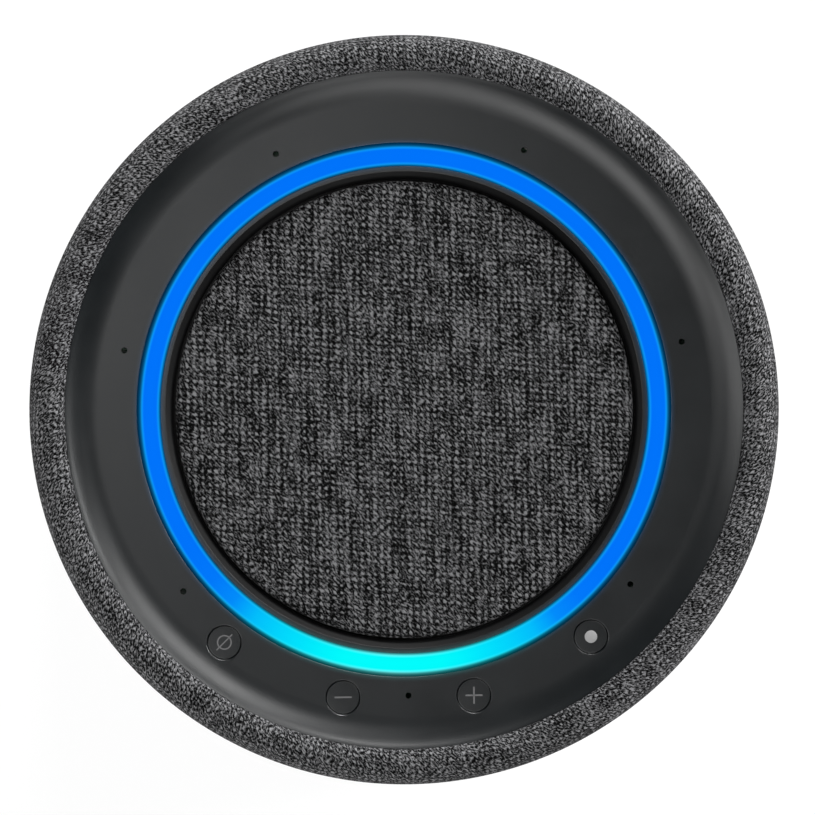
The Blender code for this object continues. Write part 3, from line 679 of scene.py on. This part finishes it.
# The ring's light on the bezel and the lip is painted as a faint glow in their plastic.
BEZEL_PLASTIC = plastic_with_painted_glow("bezel_plastic", CHARCOAL, 0.34, BEZEL_INNER_R, 63.7, 0.05)
LIP_PLASTIC = plastic_with_painted_glow("lip_plastic", CHARCOAL, 0.34, LIP_OUTER_R, 55.6, 0.06)
BUTTON_PLASTIC = moulded("button_plastic", CHARCOAL, 0.355, specular=0.45)
BLACK_PLASTIC = moulded("black_plastic", grey(0.0030, 1.05), 0.6, specular=0.3)
SLOPE_PLASTIC = moulded("slope_plastic", grey(0.0016, 1.1), 0.5, specular=0.22)
SHELL_PLASTIC = moulded("shell_plastic", grey(0.11), 0.5, grain=1500.0, depth=0.00002)
SIDE_DIFFUSER = moulded("diffuser_side", (0.02, 0.05, 0.10, 1.0), 0.4)
SWITCH_PLASTIC = moulded("switch_plastic", grey(0.13, 1.05), 0.45)
CONE_PAPER = moulded("cone_paper", grey(0.028), 0.65, grain=700.0, depth=0.00006, mottle=0.3)
CABLE_JACKET = moulded("cable_jacket", grey(0.02), 0.5, grain=900.0, depth=0.00002)
RUBBER = moulded("rubber", grey(0.017), 0.78, grain=1100.0, depth=0.00004, mottle=0.25, specular=0.3)
FERRITE = moulded("ferrite", grey(0.045), 0.5, grain=800.0, depth=0.00005, mottle=0.3)
RESIN_CLOTH = moulded("resin_cloth", RESIN, 0.8, grain=1600.0, depth=0.00008, mottle=0.25)
LEGEND = moulded("legend_ink", grey(0.076, 1.02), 0.5, grain=3000.0, depth=0.000004, mottle=0.05)
LEGEND_BRIGHT = moulded("legend_dot", grey(0.22), 0.5, grain=3000.0, depth=0.000004, mottle=0.04)
NICKEL = metal("nickel", (0.62, 0.61, 0.58, 1.0), 0.28)
ALUMINIUM = metal("aluminium", (0.72, 0.73, 0.74, 1.0), 0.34, (40.0, 900.0, 900.0))
GREEN_BOARD = circuit_board("green_board")
DIFFUSER = lit_diffuser()

CARRIED_OVER = {
    "charcoal_fabric": SLEEVE_KNIT,
    "soft_charcoal_plastic": BUTTON_PLASTIC,
    "black_plastic": BLACK_PLASTIC,
    "grey_structural_plastic": SHELL_PLASTIC,
    "light_diffuser": SIDE_DIFFUSER,
    "rubber": RUBBER,
    "green_circuit_board": GREEN_BOARD,
    "plated_steel": NICKEL,
    "aluminium": ALUMINIUM,
    "coated_cone": CONE_PAPER,
    "ferrite": FERRITE,
    "phenolic_cloth": RESIN_CLOTH,
    "cable_jacket": CABLE_JACKET,
    "switch_body": SWITCH_PLASTIC,
}
for part in frame["record"]["subparts"]:
    kept = frame["nodes"][part["node"]]
    kept.data.materials.clear()
    kept.data.materials.append(CARRIED_OVER[part["material_slot"]])


# ---- Fabric -------------------------------------------------------------------------------------
PANEL_Z = 19.5
APERTURE = stadium(120.0, 26.0, 13.0, 16, (0.0, 49.0), along=47)
PANEL = stadium(66.0, 20.0, 9.0, 10, (0.0, PANEL_Z), along=23)
TUNNEL_LIP = 2.0  # how far the tunnel's mouth reaches past the aperture
CLOTH_GAP = 0.25  # between the cloth and what fills its openings


def mouth_cutter(name, outline, side, gap):
    """Takes an opening out of the sleeve and rolls the cloth's edge in towards it."""
    spots = [
        (gap, -8.0),
        (gap, -0.95),
        (gap + 0.06, -0.62),
        (gap + 0.28, -0.26),
        (gap + 0.62, -0.05),
        (gap + 0.95, 0.06),
        (gap + 0.95, 4.0),
    ]
    return loft(name, outline, stations_at(side, spots))


def weave_hems(sleeve):
    """Gives the cut edges stitch coordinates that carry on from the wall's."""
    layer, points, loops = sleeve.data.uv_layers["weave"], sleeve.data.vertices, sleeve.data.loops
    for face in sleeve.data.polygons:
        if any(layer.data[i].uv.length > 1e-6 for i in face.loop_indices):
            continue
        for i in face.loop_indices:
            x, y, z = points[loops[i].vertex_index].co / MM
            tuck = OUTER_R - math.hypot(x, y)
            layer.data[i].uv = (math.atan2(y, x) / TAU * SLEEVE_COLUMNS, (z + tuck) / STITCH)


def make_sleeve():
    """The knit as one sheet: from the seam over the lip, down the wall and under the bottom edge."""
    top_z = HEIGHT - TOP_ROUND
    hem_r, hem_z = BEZEL_R + HEM_GAP, TOP_FLAT_Z - HEM_TUCK
    run = LIP_CREST_R - hem_r
    bend = bend_radius(run, HEIGHT - BEZEL_EDGE_Z + HEM_DROP)
    start_deg = 180 - math.degrees(math.acos(run / bend))
    bottom_z = BOTTOM_Z + BOTTOM_ROUND
    bottom_a, bottom_b = OUTER_R - BOTTOM_R, BOTTOM_ROUND
    profile = [(hem_r, hem_z)]
    profile += arc(LIP_CREST_R, HEIGHT - bend, bend, bend, start_deg, 90, 10)
    profile += arc(LIP_CREST_R, top_z, OUTER_R - LIP_CREST_R, TOP_ROUND, 90, 0, 14)[1:]
    profile += [(OUTER_R, top_z - (top_z - bottom_z) * i / 14) for i in range(1, 14)]
    profile += arc(BOTTOM_R, bottom_z, bottom_a, bottom_b, 0, -90, 10)
    profile += arc(BOTTOM_R, bottom_z, bottom_a - CLOTH_T, bottom_b - CLOTH_T, -90, 0, 5)
    profile += arc(LIP_CREST_R, top_z, OUTER_R - LIP_CREST_R - CLOTH_T, TOP_ROUND - CLOTH_T, 0, 90, 7)
    profile += arc(LIP_CREST_R, HEIGHT - bend, bend - CLOTH_T, bend - CLOTH_T, 90, start_deg, 5)[1:]
    profile += [(hem_r + CLOTH_T, hem_z)]
    sleeve = lathe("knit_sleeve", profile, SLEEVE_KNIT, weave="sleeve")
    cut(
        sleeve,
        mouth_cutter("front_mouth", APERTURE, "front", TUNNEL_LIP + CLOTH_GAP),
        mouth_cutter("back_mouth", APERTURE, "back", TUNNEL_LIP + CLOTH_GAP),
        mouth_cutter("panel_mouth", PANEL, "back", CLOTH_GAP),
    )
    weave_hems(sleeve)
    smooth(sleeve, 50.0)
    ride(sleeve, "hub", "charcoal_fabric", "fabric_sleeve")


def make_disc():
    """The cloth over the upward driver: faintly crowned, rolled over its edge and hemmed below it."""
    edge_r, top = CLOTH_DISC_R, CLOTH_TOP_Z
    hem_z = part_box("top_cloth")[0].z / MM
    rise, roll, thick = 0.12, 1.3, 0.8
    profile = [(0.0, top + rise)]
    profile += [(edge_r * i / 10, top + rise * (1 - (i / 10) ** 2)) for i in range(1, 10)]
    profile += arc(edge_r - roll, top - roll, roll, roll, 90, 0, 8)
    profile += [(edge_r, hem_z), (edge_r - thick, hem_z)]
    profile += [(edge_r - thick, top - 1.4), (edge_r - 1.6, top - thick), (0.0, top - thick)]
    disc = smooth(lathe("knit_disc", profile, DISC_KNIT, weave="disc"), 50.0)
    ride(disc, "hub", "charcoal_fabric", "top_cloth")


# ---- Top face -----------------------------------------------------------------------------------
def hole_cutter(name, radius, at, chamfer, facets, *materials):
    """A drill whose flared shoulder breaks the edge of its hole. Its material lines the hole."""
    top = TOP_FLAT_Z
    profile = [
        (0.0, top + 6),
        (radius + chamfer + 0.6, top + 6),
        (radius + chamfer + 0.6, top + 0.6),
        (radius + chamfer, top),
        (radius + chamfer * 0.3, top - chamfer * 0.3),
        (radius, top - chamfer),
        (radius, top - 8),
        (0.0, top - 8),
    ]
    return place(lathe(name, profile, *materials, facets=facets), Matrix.Translation(at * MM))


def button_at(name):
    return on_circle(BUTTON_CIRCLE_R, -90 + BUTTON_STEPS[name] * STEP_DEG)


def make_bezel():
    """A dished ring: a flat, a long climb, and an edge that rolls over at the seam."""
    roll_r, roll_end_deg = BEZEL_R - 0.8, 26.0
    bend = bend_radius(BEZEL_R - SHOULDER_R, BEZEL_EDGE_Z - TOP_FLAT_Z)
    roll_deg = math.degrees(math.asin((roll_r - SHOULDER_R) / bend))
    under, wall, edge = TOP_FLAT_Z - 2.0, 1.8, 0.15
    skirt_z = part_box("top_bezel")[0].z / MM
    profile = arc(BEZEL_INNER_R + edge, TOP_FLAT_Z - edge, edge, edge, 180, 90, 3)
    profile += arc(SHOULDER_R, TOP_FLAT_Z + bend, bend, bend, -90, -90 + roll_deg, 26)
    climb, level = math.radians(roll_deg), math.radians(roll_end_deg)
    roll = (BEZEL_R - roll_r) / (math.sin(climb) - math.sin(level))
    middle = (roll_r + roll * math.sin(climb), profile[-1][1] - roll * math.cos(climb))
    profile += arc(*middle, roll, roll, 90 + roll_deg, 90 + roll_end_deg, 6)[1:]
    profile += [(BEZEL_R, skirt_z), (BEZEL_R - wall, skirt_z), (BEZEL_R - wall, under + 1.2)]
    profile += [(SHOULDER_R + 2, under), (BEZEL_INNER_R, under)]
    bezel = lathe("bezel", profile, BEZEL_PLASTIC)
    tools = [hole_cutter("button_hole", BUTTON_HOLE_R, button_at(n), 0.2, 64) for n in BUTTON_STEPS]
    for i in range(7):
        at = on_circle(MIC_CIRCLE_R, -90 + 2 * i * STEP_DEG)
        tools.append(hole_cutter("mic_hole", MIC_HOLE_R, at, 0.03, 24, SLOPE_PLASTIC))
    cut(bezel, *tools)
    smooth(bezel, 30.0)
    ride(bezel, "hub", "soft_charcoal_plastic", "top_bezel")


def by_height(profile, level):
    """Material 0 for the profile's steps above the level, 1 for the rest."""
    return [0 if min(a[1], b[1]) > level else 1 for a, b in zip(profile, profile[1:] + profile[:1])]


def make_ring():
    """The diffuser, lit on its top and plain on its sides."""
    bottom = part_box("light_ring")[0].z / MM
    top = TOP_FLAT_Z - 0.02
    corners = [
        (RING_INNER_R, top, 0.18),
        (RING_OUTER_R, top, 0.18),
        (RING_OUTER_R, bottom, 0.2),
        (RING_INNER_R, bottom, 0.2),
    ]
    profile = rounded(corners, 3)
    slots = by_height(profile, top - 0.25)
    ring = smooth(lathe("glow_ring", profile, DIFFUSER, SIDE_DIFFUSER, slots=slots), 40.0)
    ride(ring, "hub", "light_diffuser", "light_ring")


def make_trim():
    """A grey lip with a black slope inside it, down to a ledge that the cloth disc sits in."""
    foot_z, ledge_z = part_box("inner_trim")[0].z / MM, TOP_FLAT_Z - 5.1
    ledge_r, slope_r = 50.6, 53.8
    corners = [
        (LIP_INNER_R, TOP_FLAT_Z, 0.2),
        (LIP_OUTER_R, TOP_FLAT_Z, 0.1),
        (LIP_OUTER_R, foot_z),
        (ledge_r, foot_z),
        (ledge_r, ledge_z),
        (slope_r, ledge_z),
        (slope_r, TOP_FLAT_Z - 3.2, 0.5),
    ]
    profile = rounded(corners, 5)
    slots = by_height(profile, TOP_FLAT_Z - 0.02)
    trim = smooth(lathe("centre_trim", profile, LIP_PLASTIC, SLOPE_PLASTIC, slots=slots), 40.0)
    ride(trim, "hub", "black_plastic", "inner_trim")


# ---- Buttons ------------------------------------------------------------------------------------
def strip(points, width, closed=False):
    """Corner points of a flat band that follows a path: (left edge, right edge)."""
    left, right = [], []
    count = len(points)
    for i, point in enumerate(points):
        before = points[i - 1] if closed or i else point
        after = points[(i + 1) % count] if closed or i < count - 1 else point
        along = Vector((after[0] - before[0], after[1] - before[1])).normalized()
        side = Vector((-along.y, along.x)) * width / 2
        left.append((point[0] + side.x, point[1] + side.y))
        right.append((point[0] - side.x, point[1] - side.y))
    return left, right


def band(name, points, width, top_of, thick, material, closed=False):
    """A thin raised band of ink on a button, following its crown."""
    left, right = strip(points, width, closed)
    verts, faces = [], []
    count = len(points)
    for edge, lift in ((left, 0.0), (right, 0.0), (right, -thick), (left, -thick)):
        verts += [(x, y, top_of(x, y) + lift) for x, y in edge]
    for i in range(count if closed else count - 1):
        n = (i + 1) % count
        for a in range(4):
            b = (a + 1) % 4
            faces.append([a * count + i, a * count + n, b * count + n, b * count + i])
    if not closed:
        faces.append([a * count for a in range(4)])
        faces.append([a * count + count - 1 for a in reversed(range(4))])
    return add_mesh(name, verts, faces, material)


def crown(x, y):
    """Height of a button's shallow crown above its edge."""
    return 0.06 * (1 - min(1.0, (x * x + y * y) / BUTTON_CROWN_R**2))


def make_legend(name, top):
    """The mark on a button, as bands and discs laid into its crown."""
    lift, loop_r, reach, wide = 0.025, 1.58, 2.0, 0.38

    def surface(x, y):
        return top + crown(x, y) + lift

    def line(x0, y0, x1, y1):
        return [(x0 + (x1 - x0) * i / 8, y0 + (y1 - y0) * i / 8) for i in range(9)]

    if name == "mute":
        turns = [TAU * i / 48 for i in range(48)]
        loop = [(loop_r * math.cos(a), loop_r * math.sin(a)) for a in turns]
        slash = line(-1.88, -1.8, 1.88, 1.85)
        return [
            band("mute_mark_loop", loop, 0.31, surface, 0.1, LEGEND, closed=True),
            band("mute_mark_slash", slash, 0.29, surface, 0.12, LEGEND),
        ]
    if name == "action":
        profile = [(0.0, 0.0), (1.38, 0.0), (1.5, -0.04), (1.5, -0.12), (0.0, -0.12)]
        dot = smooth(lathe("action_mark_dot", profile, LEGEND_BRIGHT, facets=48))
        return [place(dot, Matrix.Translation((0, 0, (top + 0.075) * MM)))]
    made = [band(name + "_mark_bar", line(-reach, 0, reach, 0), wide, surface, 0.1, LEGEND)]
    if name == "volume_up":
        made.append(band("volume_up_mark_post", line(0, -reach, 0, reach), wide, surface, 0.12, LEGEND))
    return made


def make_button(name):
    """A crowned cap with a flange under the bezel and a stem down to its switch."""
    low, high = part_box(name + "_button")
    centre = Matrix.Translation(((low.x + high.x) / 2, (low.y + high.y) / 2, 0))
    top, foot = high.z / MM, low.z / MM
    flange, flange_r, stem_r, edge = TOP_FLAT_Z - 2.3, 4.95, 1.5, 0.2
    profile = [(BUTTON_CROWN_R * i / 6, top + crown(BUTTON_CROWN_R * i / 6, 0)) for i in range(7)]
    profile += arc(BUTTON_R - edge, top - edge, edge, edge, 80, 0, 5)
    profile += [(BUTTON_R, flange), (flange_r, flange), (flange_r, flange - 0.75)]
    profile += [(stem_r, flange - 0.75), (stem_r, foot), (0.0, foot)]
    cap = place(smooth(lathe(name + "_cap", profile, BUTTON_PLASTIC, facets=72), 30.0), centre)
    ride(cap, name + "_button", "soft_charcoal_plastic", name + "_button")
    for mark in make_legend(name, top):
        place(mark, centre)
        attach(mark, name + "_button")


# ---- Bass tunnel --------------------------------------------------------------------------------
def make_tunnel():
    """The tunnel's wall, with a soft rounded mouth at each end that follows the round skin."""
    mouth = [(TUNNEL_LIP, -3.0), (TUNNEL_LIP, -0.9), (1.86, -0.52), (1.5, -0.3), (1.0, -0.25)]
    mouth += [(0.5, -0.42), (0.14, -0.85), (0.0, -1.7), (0.0, -6.0)]
    stations = stations_at("front", mouth)
    stations += stations_at("plane", [(0.0, -30.0), (0.0, 0.0), (0.0, 30.0)])
    stations += stations_at("back", reversed(mouth))
    stations += stations_at("plane", [(TUNNEL_LIP, 30.0), (TUNNEL_LIP, 0.0), (TUNNEL_LIP, -30.0)])
    tunnel = loft("bass_tunnel", APERTURE, stations, BLACK_PLASTIC, capped=False)
    cut(tunnel, rod("woofer_port", (0, 0, 57), (0, 0, 72), 56.0, 128))
    smooth(tunnel, 40.0)
    ride(tunnel, "hub", "black_plastic", "aperture_liner")


# ---- Connectors ---------------------------------------------------------------------------------
INLET_X, JACK_X, USB_X = 15.0, -8.0, -21.0
INLET_SIZE, USB_SIZE, JACK_R = (19.4, 12.0), (8.2, 3.6), 3.5
INLET_FIT, USB_FIT, JACK_FIT = 0.25, 0.3, 0.25  # clearance round each in the panel
FACE_Y = 78.5  # the panel's recessed face
INLET_FLOOR_Y = 66.5
CLEAR_Y = 90.0  # past the hub's back


def turn_to_back(x, z):
    """Local +Z to the back of the hub, at that place on the connector panel."""
    return Matrix.Translation((x * MM, 0, z * MM)) @ Matrix.Rotation(-math.pi / 2, 4, "X")


def make_panel():
    """The recessed connector plate, with a rim that follows the round skin."""
    rim = [(0.0, -1.0), (-0.12, -0.6), (-0.5, -0.34), (-1.0, -0.3), (-1.5, -0.42), (-1.85, -0.8)]
    stations = stations_at("plane", [(0.0, 76.5)])
    stations += stations_at("back", rim + [(-2.0, -1.5)])
    stations += stations_at("plane", [(-2.0, 79.2), (-2.1, 78.8), (-2.4, 78.55), (-2.8, FACE_Y)])
    panel = loft("connector_panel", PANEL, stations, BLACK_PLASTIC)
    inlet = [size + 2 * INLET_FIT for size in INLET_SIZE]
    usb = [size + 2 * USB_FIT for size in USB_SIZE]
    cut(
        panel,
        bar("inlet_opening", stadium(*inlet, 6.2, 10, (INLET_X, PANEL_Z)), 70, CLEAR_Y),
        bar("usb_opening", stadium(*usb, 1.2, 6, (USB_X, PANEL_Z)), 70, CLEAR_Y),
        rod("jack_opening", (JACK_X, 70, PANEL_Z), (JACK_X, CLEAR_Y, PANEL_Z), JACK_R + JACK_FIT, 48),
    )
    smooth(panel, 35.0)
    ride(panel, "hub", "black_plastic", "port_panel")


def make_inlet():
    """The mains inlet's nose with its figure-of-eight socket, and its two round-ended pins."""
    outline = stadium(*INLET_SIZE, 5.9, 12, (INLET_X, PANEL_Z))
    stations = stations_at("plane", [(0.0, 62.0), (0.0, 78.2), (-0.12, 78.5), (-0.4, 78.62)])
    nose = loft("mains_inlet", outline, stations, BLACK_PLASTIC)
    tools = []
    for x in (INLET_X - 3.6, INLET_X + 3.6):
        tools.append(rod("lobe", (x, INLET_FLOOR_Y, PANEL_Z), (x, CLEAR_Y, PANEL_Z), 4.3, 48))
    tools.append(bar("waist", stadium(8.0, 6.8, 0.5, 4, (INLET_X, PANEL_Z)), INLET_FLOOR_Y, CLEAR_Y))
    cut(nose, *tools)
    smooth(nose, 35.0)
    ride(nose, "hub", "black_plastic", "power_inlet")
    for side, offset in (("left", 4.3), ("right", -4.3)):
        profile = [(0.0, 75.5)] + arc(0.55, 74.85, 0.6, 0.65, 90, 0, 5) + [(1.15, 66.8), (0.0, 66.8)]
        pin = smooth(lathe("inlet_pin_" + side, profile, NICKEL, facets=32))
        place(pin, turn_to_back(INLET_X + offset, PANEL_Z))
        ride(pin, "hub", "plated_steel", "power_pin_" + side)


def make_jack():
    """The audio socket's barrel and the plated collar round its hole."""
    corners = [(1.8, 78.45, 0.25), (JACK_R, 78.45, 0.3), (JACK_R, 63.0), (1.8, 63.0)]
    jack = smooth(lathe("audio_socket", rounded(corners), BLACK_PLASTIC, facets=48), 40.0)
    place(jack, turn_to_back(JACK_X, PANEL_Z))
    ride(jack, "hub", "black_plastic", "audio_jack")
    corners = [(1.78, 78.66, 0.1), (2.5, 78.66, 0.12), (2.5, 78.3), (1.78, 78.3)]
    collar = smooth(lathe("audio_socket_collar", rounded(corners), NICKEL, facets=48), 40.0)
    place(collar, turn_to_back(JACK_X, PANEL_Z))
    ride(collar, "hub", "plated_steel")


def make_usb():
    """The service socket's plated shell, and the tongue inside it."""
    outline = stadium(*USB_SIZE, 1.1, 6, (USB_X, PANEL_Z))
    stations = stations_at("plane", [(0, 71), (0, 78.4), (-0.1, 78.5)])
    shell = loft("service_socket", outline, stations, NICKEL)
    mouth = stadium(7.4, 2.8, 0.8, 6, (USB_X, PANEL_Z))
    cut(shell, bar("service_mouth", mouth, 72.5, CLEAR_Y))
    smooth(shell, 35.0)
    ride(shell, "hub", "plated_steel", "usb_socket")
    outline = stadium(5.4, 0.7, 0.3, 4, (USB_X, PANEL_Z))
    stations = stations_at("plane", [(0, 72.6), (0, 77.6), (-0.1, 77.7)])
    tongue = loft("service_socket_tongue", outline, stations, BLACK_PLASTIC)
    ride(smooth(tongue), "hub", "black_plastic")


# ---- Underside ----------------------------------------------------------------------------------
SCREW_CIRCLE_R = 76.5
SCREWS = (1, 2, 3)


def screw_at(number, height=0.0):
    return on_circle(SCREW_CIRCLE_R, 120 * number - 90, height)


def make_foot():
    """A rubber ring with five shallow grooves in the face it stands on."""
    inner, outer, top = 58.4, 72.0, 2.7
    corners = [(inner, top), (outer, top), (outer - 0.1, 0.55, 0.5), (outer - 0.8, 0.0, 0.3)]
    for i in range(5):
        r = 69.9 - 2.2 * i
        corners += [(r + 0.35, 0.0), (r + 0.2, 0.35), (r - 0.2, 0.35), (r - 0.35, 0.0)]
    corners += [(inner + 0.8, 0.0, 0.3), (inner + 0.1, 0.55, 0.5)]
    foot = smooth(lathe("rubber_foot", rounded(corners), RUBBER), 30.0)
    ride(foot, "hub", "rubber", "foot_ring")


def make_cover():
    """The bottom cover, grooved on each side of the foot, with a hole for each screw."""
    radius, top, under = 80.7, 5.0, 3.0
    corners = [(0.0, top), (radius, top, 0.3), (radius, under, 0.6)]
    corners += [(73.4, under), (73.2, 3.3), (72.6, 3.3), (72.4, under)]
    corners += [(57.0, under), (56.8, 3.35), (55.6, 3.35), (55.4, under), (0.0, under)]
    cover = lathe("bottom_cover", rounded(corners, 3), BLACK_PLASTIC)
    cut(cover, *[rod("cover_hole", screw_at(n), screw_at(n, 10.0), 1.9, 32) for n in SCREWS])
    smooth(cover, 30.0)
    ride(cover, "hub", "black_plastic", "base_cover")


def make_screw(number):
    """A domed cross-head screw, head down."""
    head_r, shank_r, tip_z, slot = 3.0, 1.5, 11.7, (2.6, 0.62)
    corners = [(0.0, tip_z), (shank_r - 0.3, tip_z), (shank_r, tip_z - 0.5), (shank_r, 1.4)]
    corners += [(head_r, 1.4, 0.1), (head_r, 0.55, 0.3), (head_r - 0.8, 0.0, 0.4), (0.0, 0.0)]
    screw = lathe(f"cover_screw_{number}", rounded(corners), NICKEL, facets=48)
    tools = [bar("recess", stadium(*size, 0.1, 2), -0.75, 1.0) for size in (slot, slot[::-1])]
    for tool in tools:
        place(tool, Matrix.Rotation(math.pi / 2, 4, "X"))
    cut(screw, *tools)
    smooth(screw, 35.0)
    place(screw, Matrix.Translation(screw_at(number, 1.3) * MM))
    ride(screw, "hub", "plated_steel", f"base_screw_{number}")


make_sleeve()
make_disc()
make_bezel()
make_ring()
make_trim()
for button in BUTTON_STEPS:
    make_button(button)
make_tunnel()
make_panel()
make_inlet()
make_jack()
make_usb()
make_foot()
make_cover()
for number in SCREWS:
    make_screw(number)


# ---- Floor, light and camera --------------------------------------------------------------------
FLOOR_R, FLOOR_SIDES = 3300.0, 128


def make_floor():
    """A pale round floor that glows faintly, as a lit studio sweep does."""
    edge = [tuple(on_circle(FLOOR_R, 360 * i / FLOOR_SIDES)) for i in range(FLOOR_SIDES)]
    floor = add_mesh("floor", edge, [list(range(FLOOR_SIDES))])
    g = Graph("pale_floor")
    cloud = g.noise(g.objects(), 1.5, 3.0)["Fac"]
    g.set(
        Base_Color=g.blend(g.fit(cloud, 0.3, 0.7), grey(0.16), grey(0.18)),
        Roughness=0.9,
        Specular_IOR_Level=0.1,
        Emission_Color=grey(1.0),
        Emission_Strength=0.84,
    )
    floor.data.materials.append(g.material)


def make_world():
    """A white room below the horizon that darkens overhead."""
    world = bpy.data.worlds.new("studio")
    bpy.context.scene.world = world
    world.use_nodes = True
    nodes, links = world.node_tree.nodes, world.node_tree.links
    back = nodes["Background"]
    height = nodes.new("ShaderNodeSeparateXYZ")
    where = nodes.new("ShaderNodeTexCoord")
    ramp = nodes.new("ShaderNodeValToRGB")
    links.new(where.outputs["Generated"], height.inputs[0])
    links.new(height.outputs[2], ramp.inputs[0])
    links.new(ramp.outputs[0], back.inputs["Color"])
    stops = ((0.1, grey(1.0)), (0.25, grey(0.02)))
    for point, (at, colour) in zip(ramp.color_ramp.elements, stops):
        point.position = at
        point.color = colour
    back.inputs["Strength"].default_value = 1.0


# Square softboxes round the hub: (direction anticlockwise from +X, angle from straight up, radiance)
SOFTBOXES = {
    "low_east": (20.0, 80.0, 29.5),
    "low_north": (80.0, 80.0, 29.5),
    "low_west": (180.0, 80.0, 7.7),
    "low_front": (280.0, 80.0, 10.3),
    "high_north_east": (50.0, 40.0, 10.0),
    "high_south_west": (228.0, 26.0, 5.3),
    "high_west": (190.0, 50.0, 4.1),
    "high_front": (270.0, 40.0, 4.0),
}
SOFTBOX_SIZE = 1.5
SOFTBOX_DISTANCE = 3.6
OVERHEAD_SIZE = 0.2
OVERHEAD_RADIANCE = 0.078
OVERHEAD_SPREAD_DEG = 20


def add_lamp(name, at, aim, size, radiance):
    """A square lamp that the camera doesn't see."""
    lamp = bpy.data.lights.new(name, "AREA")
    lamp.shape = "SQUARE"
    lamp.size = size
    lamp.energy = math.pi * size**2 * radiance
    holder = bpy.data.objects.new(name, lamp)
    bpy.context.scene.collection.objects.link(holder)
    holder.location = at
    holder.rotation_euler = (aim - at).to_track_quat("-Z", "Y").to_euler()
    holder.visible_camera = False
    return lamp


def make_lights():
    """Softboxes all round the hub, and a small gridded lamp over its top."""
    top = Vector((0, 0, 0.2))
    for name, (turn, lean, radiance) in SOFTBOXES.items():
        a, t = math.radians(turn), math.radians(lean)
        out = Vector((math.cos(a) * math.sin(t), math.sin(a) * math.sin(t), math.cos(t)))
        add_lamp(name, top + out * SOFTBOX_DISTANCE, top, SOFTBOX_SIZE, radiance)
    over = top + on_circle(0.11, 140.0, 0.6)
    below = Vector((over.x, over.y, 0.0))
    overhead = add_lamp("gridded_overhead", over, below, OVERHEAD_SIZE, OVERHEAD_RADIANCE)
    overhead.spread = math.radians(OVERHEAD_SPREAD_DEG)


CAMERA_HEIGHT = 3.0
CAMERA_X, CAMERA_Y = 0.81, 0.49
CAMERA_TURN_DEG = -0.9
VIEW_WIDTH = 190.28  # what the frame takes in at the height of the outline
SENSOR_WIDTH = 36.0


def make_camera():
    """Straight above the hub, turned by a degree, close enough for the hub to fill most of the frame."""
    data = bpy.data.cameras.new("camera")
    camera = bpy.data.objects.new("camera", data)
    bpy.context.scene.collection.objects.link(camera)
    bpy.context.scene.camera = camera
    outline_z = (HEIGHT - TOP_ROUND) * MM
    data.sensor_width = SENSOR_WIDTH
    data.lens = SENSOR_WIDTH * (CAMERA_HEIGHT - outline_z) / (VIEW_WIDTH * MM)
    data.clip_start, data.clip_end = 0.05, 20.0
    camera.location = (CAMERA_X * MM, CAMERA_Y * MM, CAMERA_HEIGHT)
    camera.rotation_euler = (0.0, 0.0, math.radians(CAMERA_TURN_DEG))


make_floor()
make_world()
make_lights()
make_camera()
bpy.context.scene.view_settings.view_transform = "Standard"
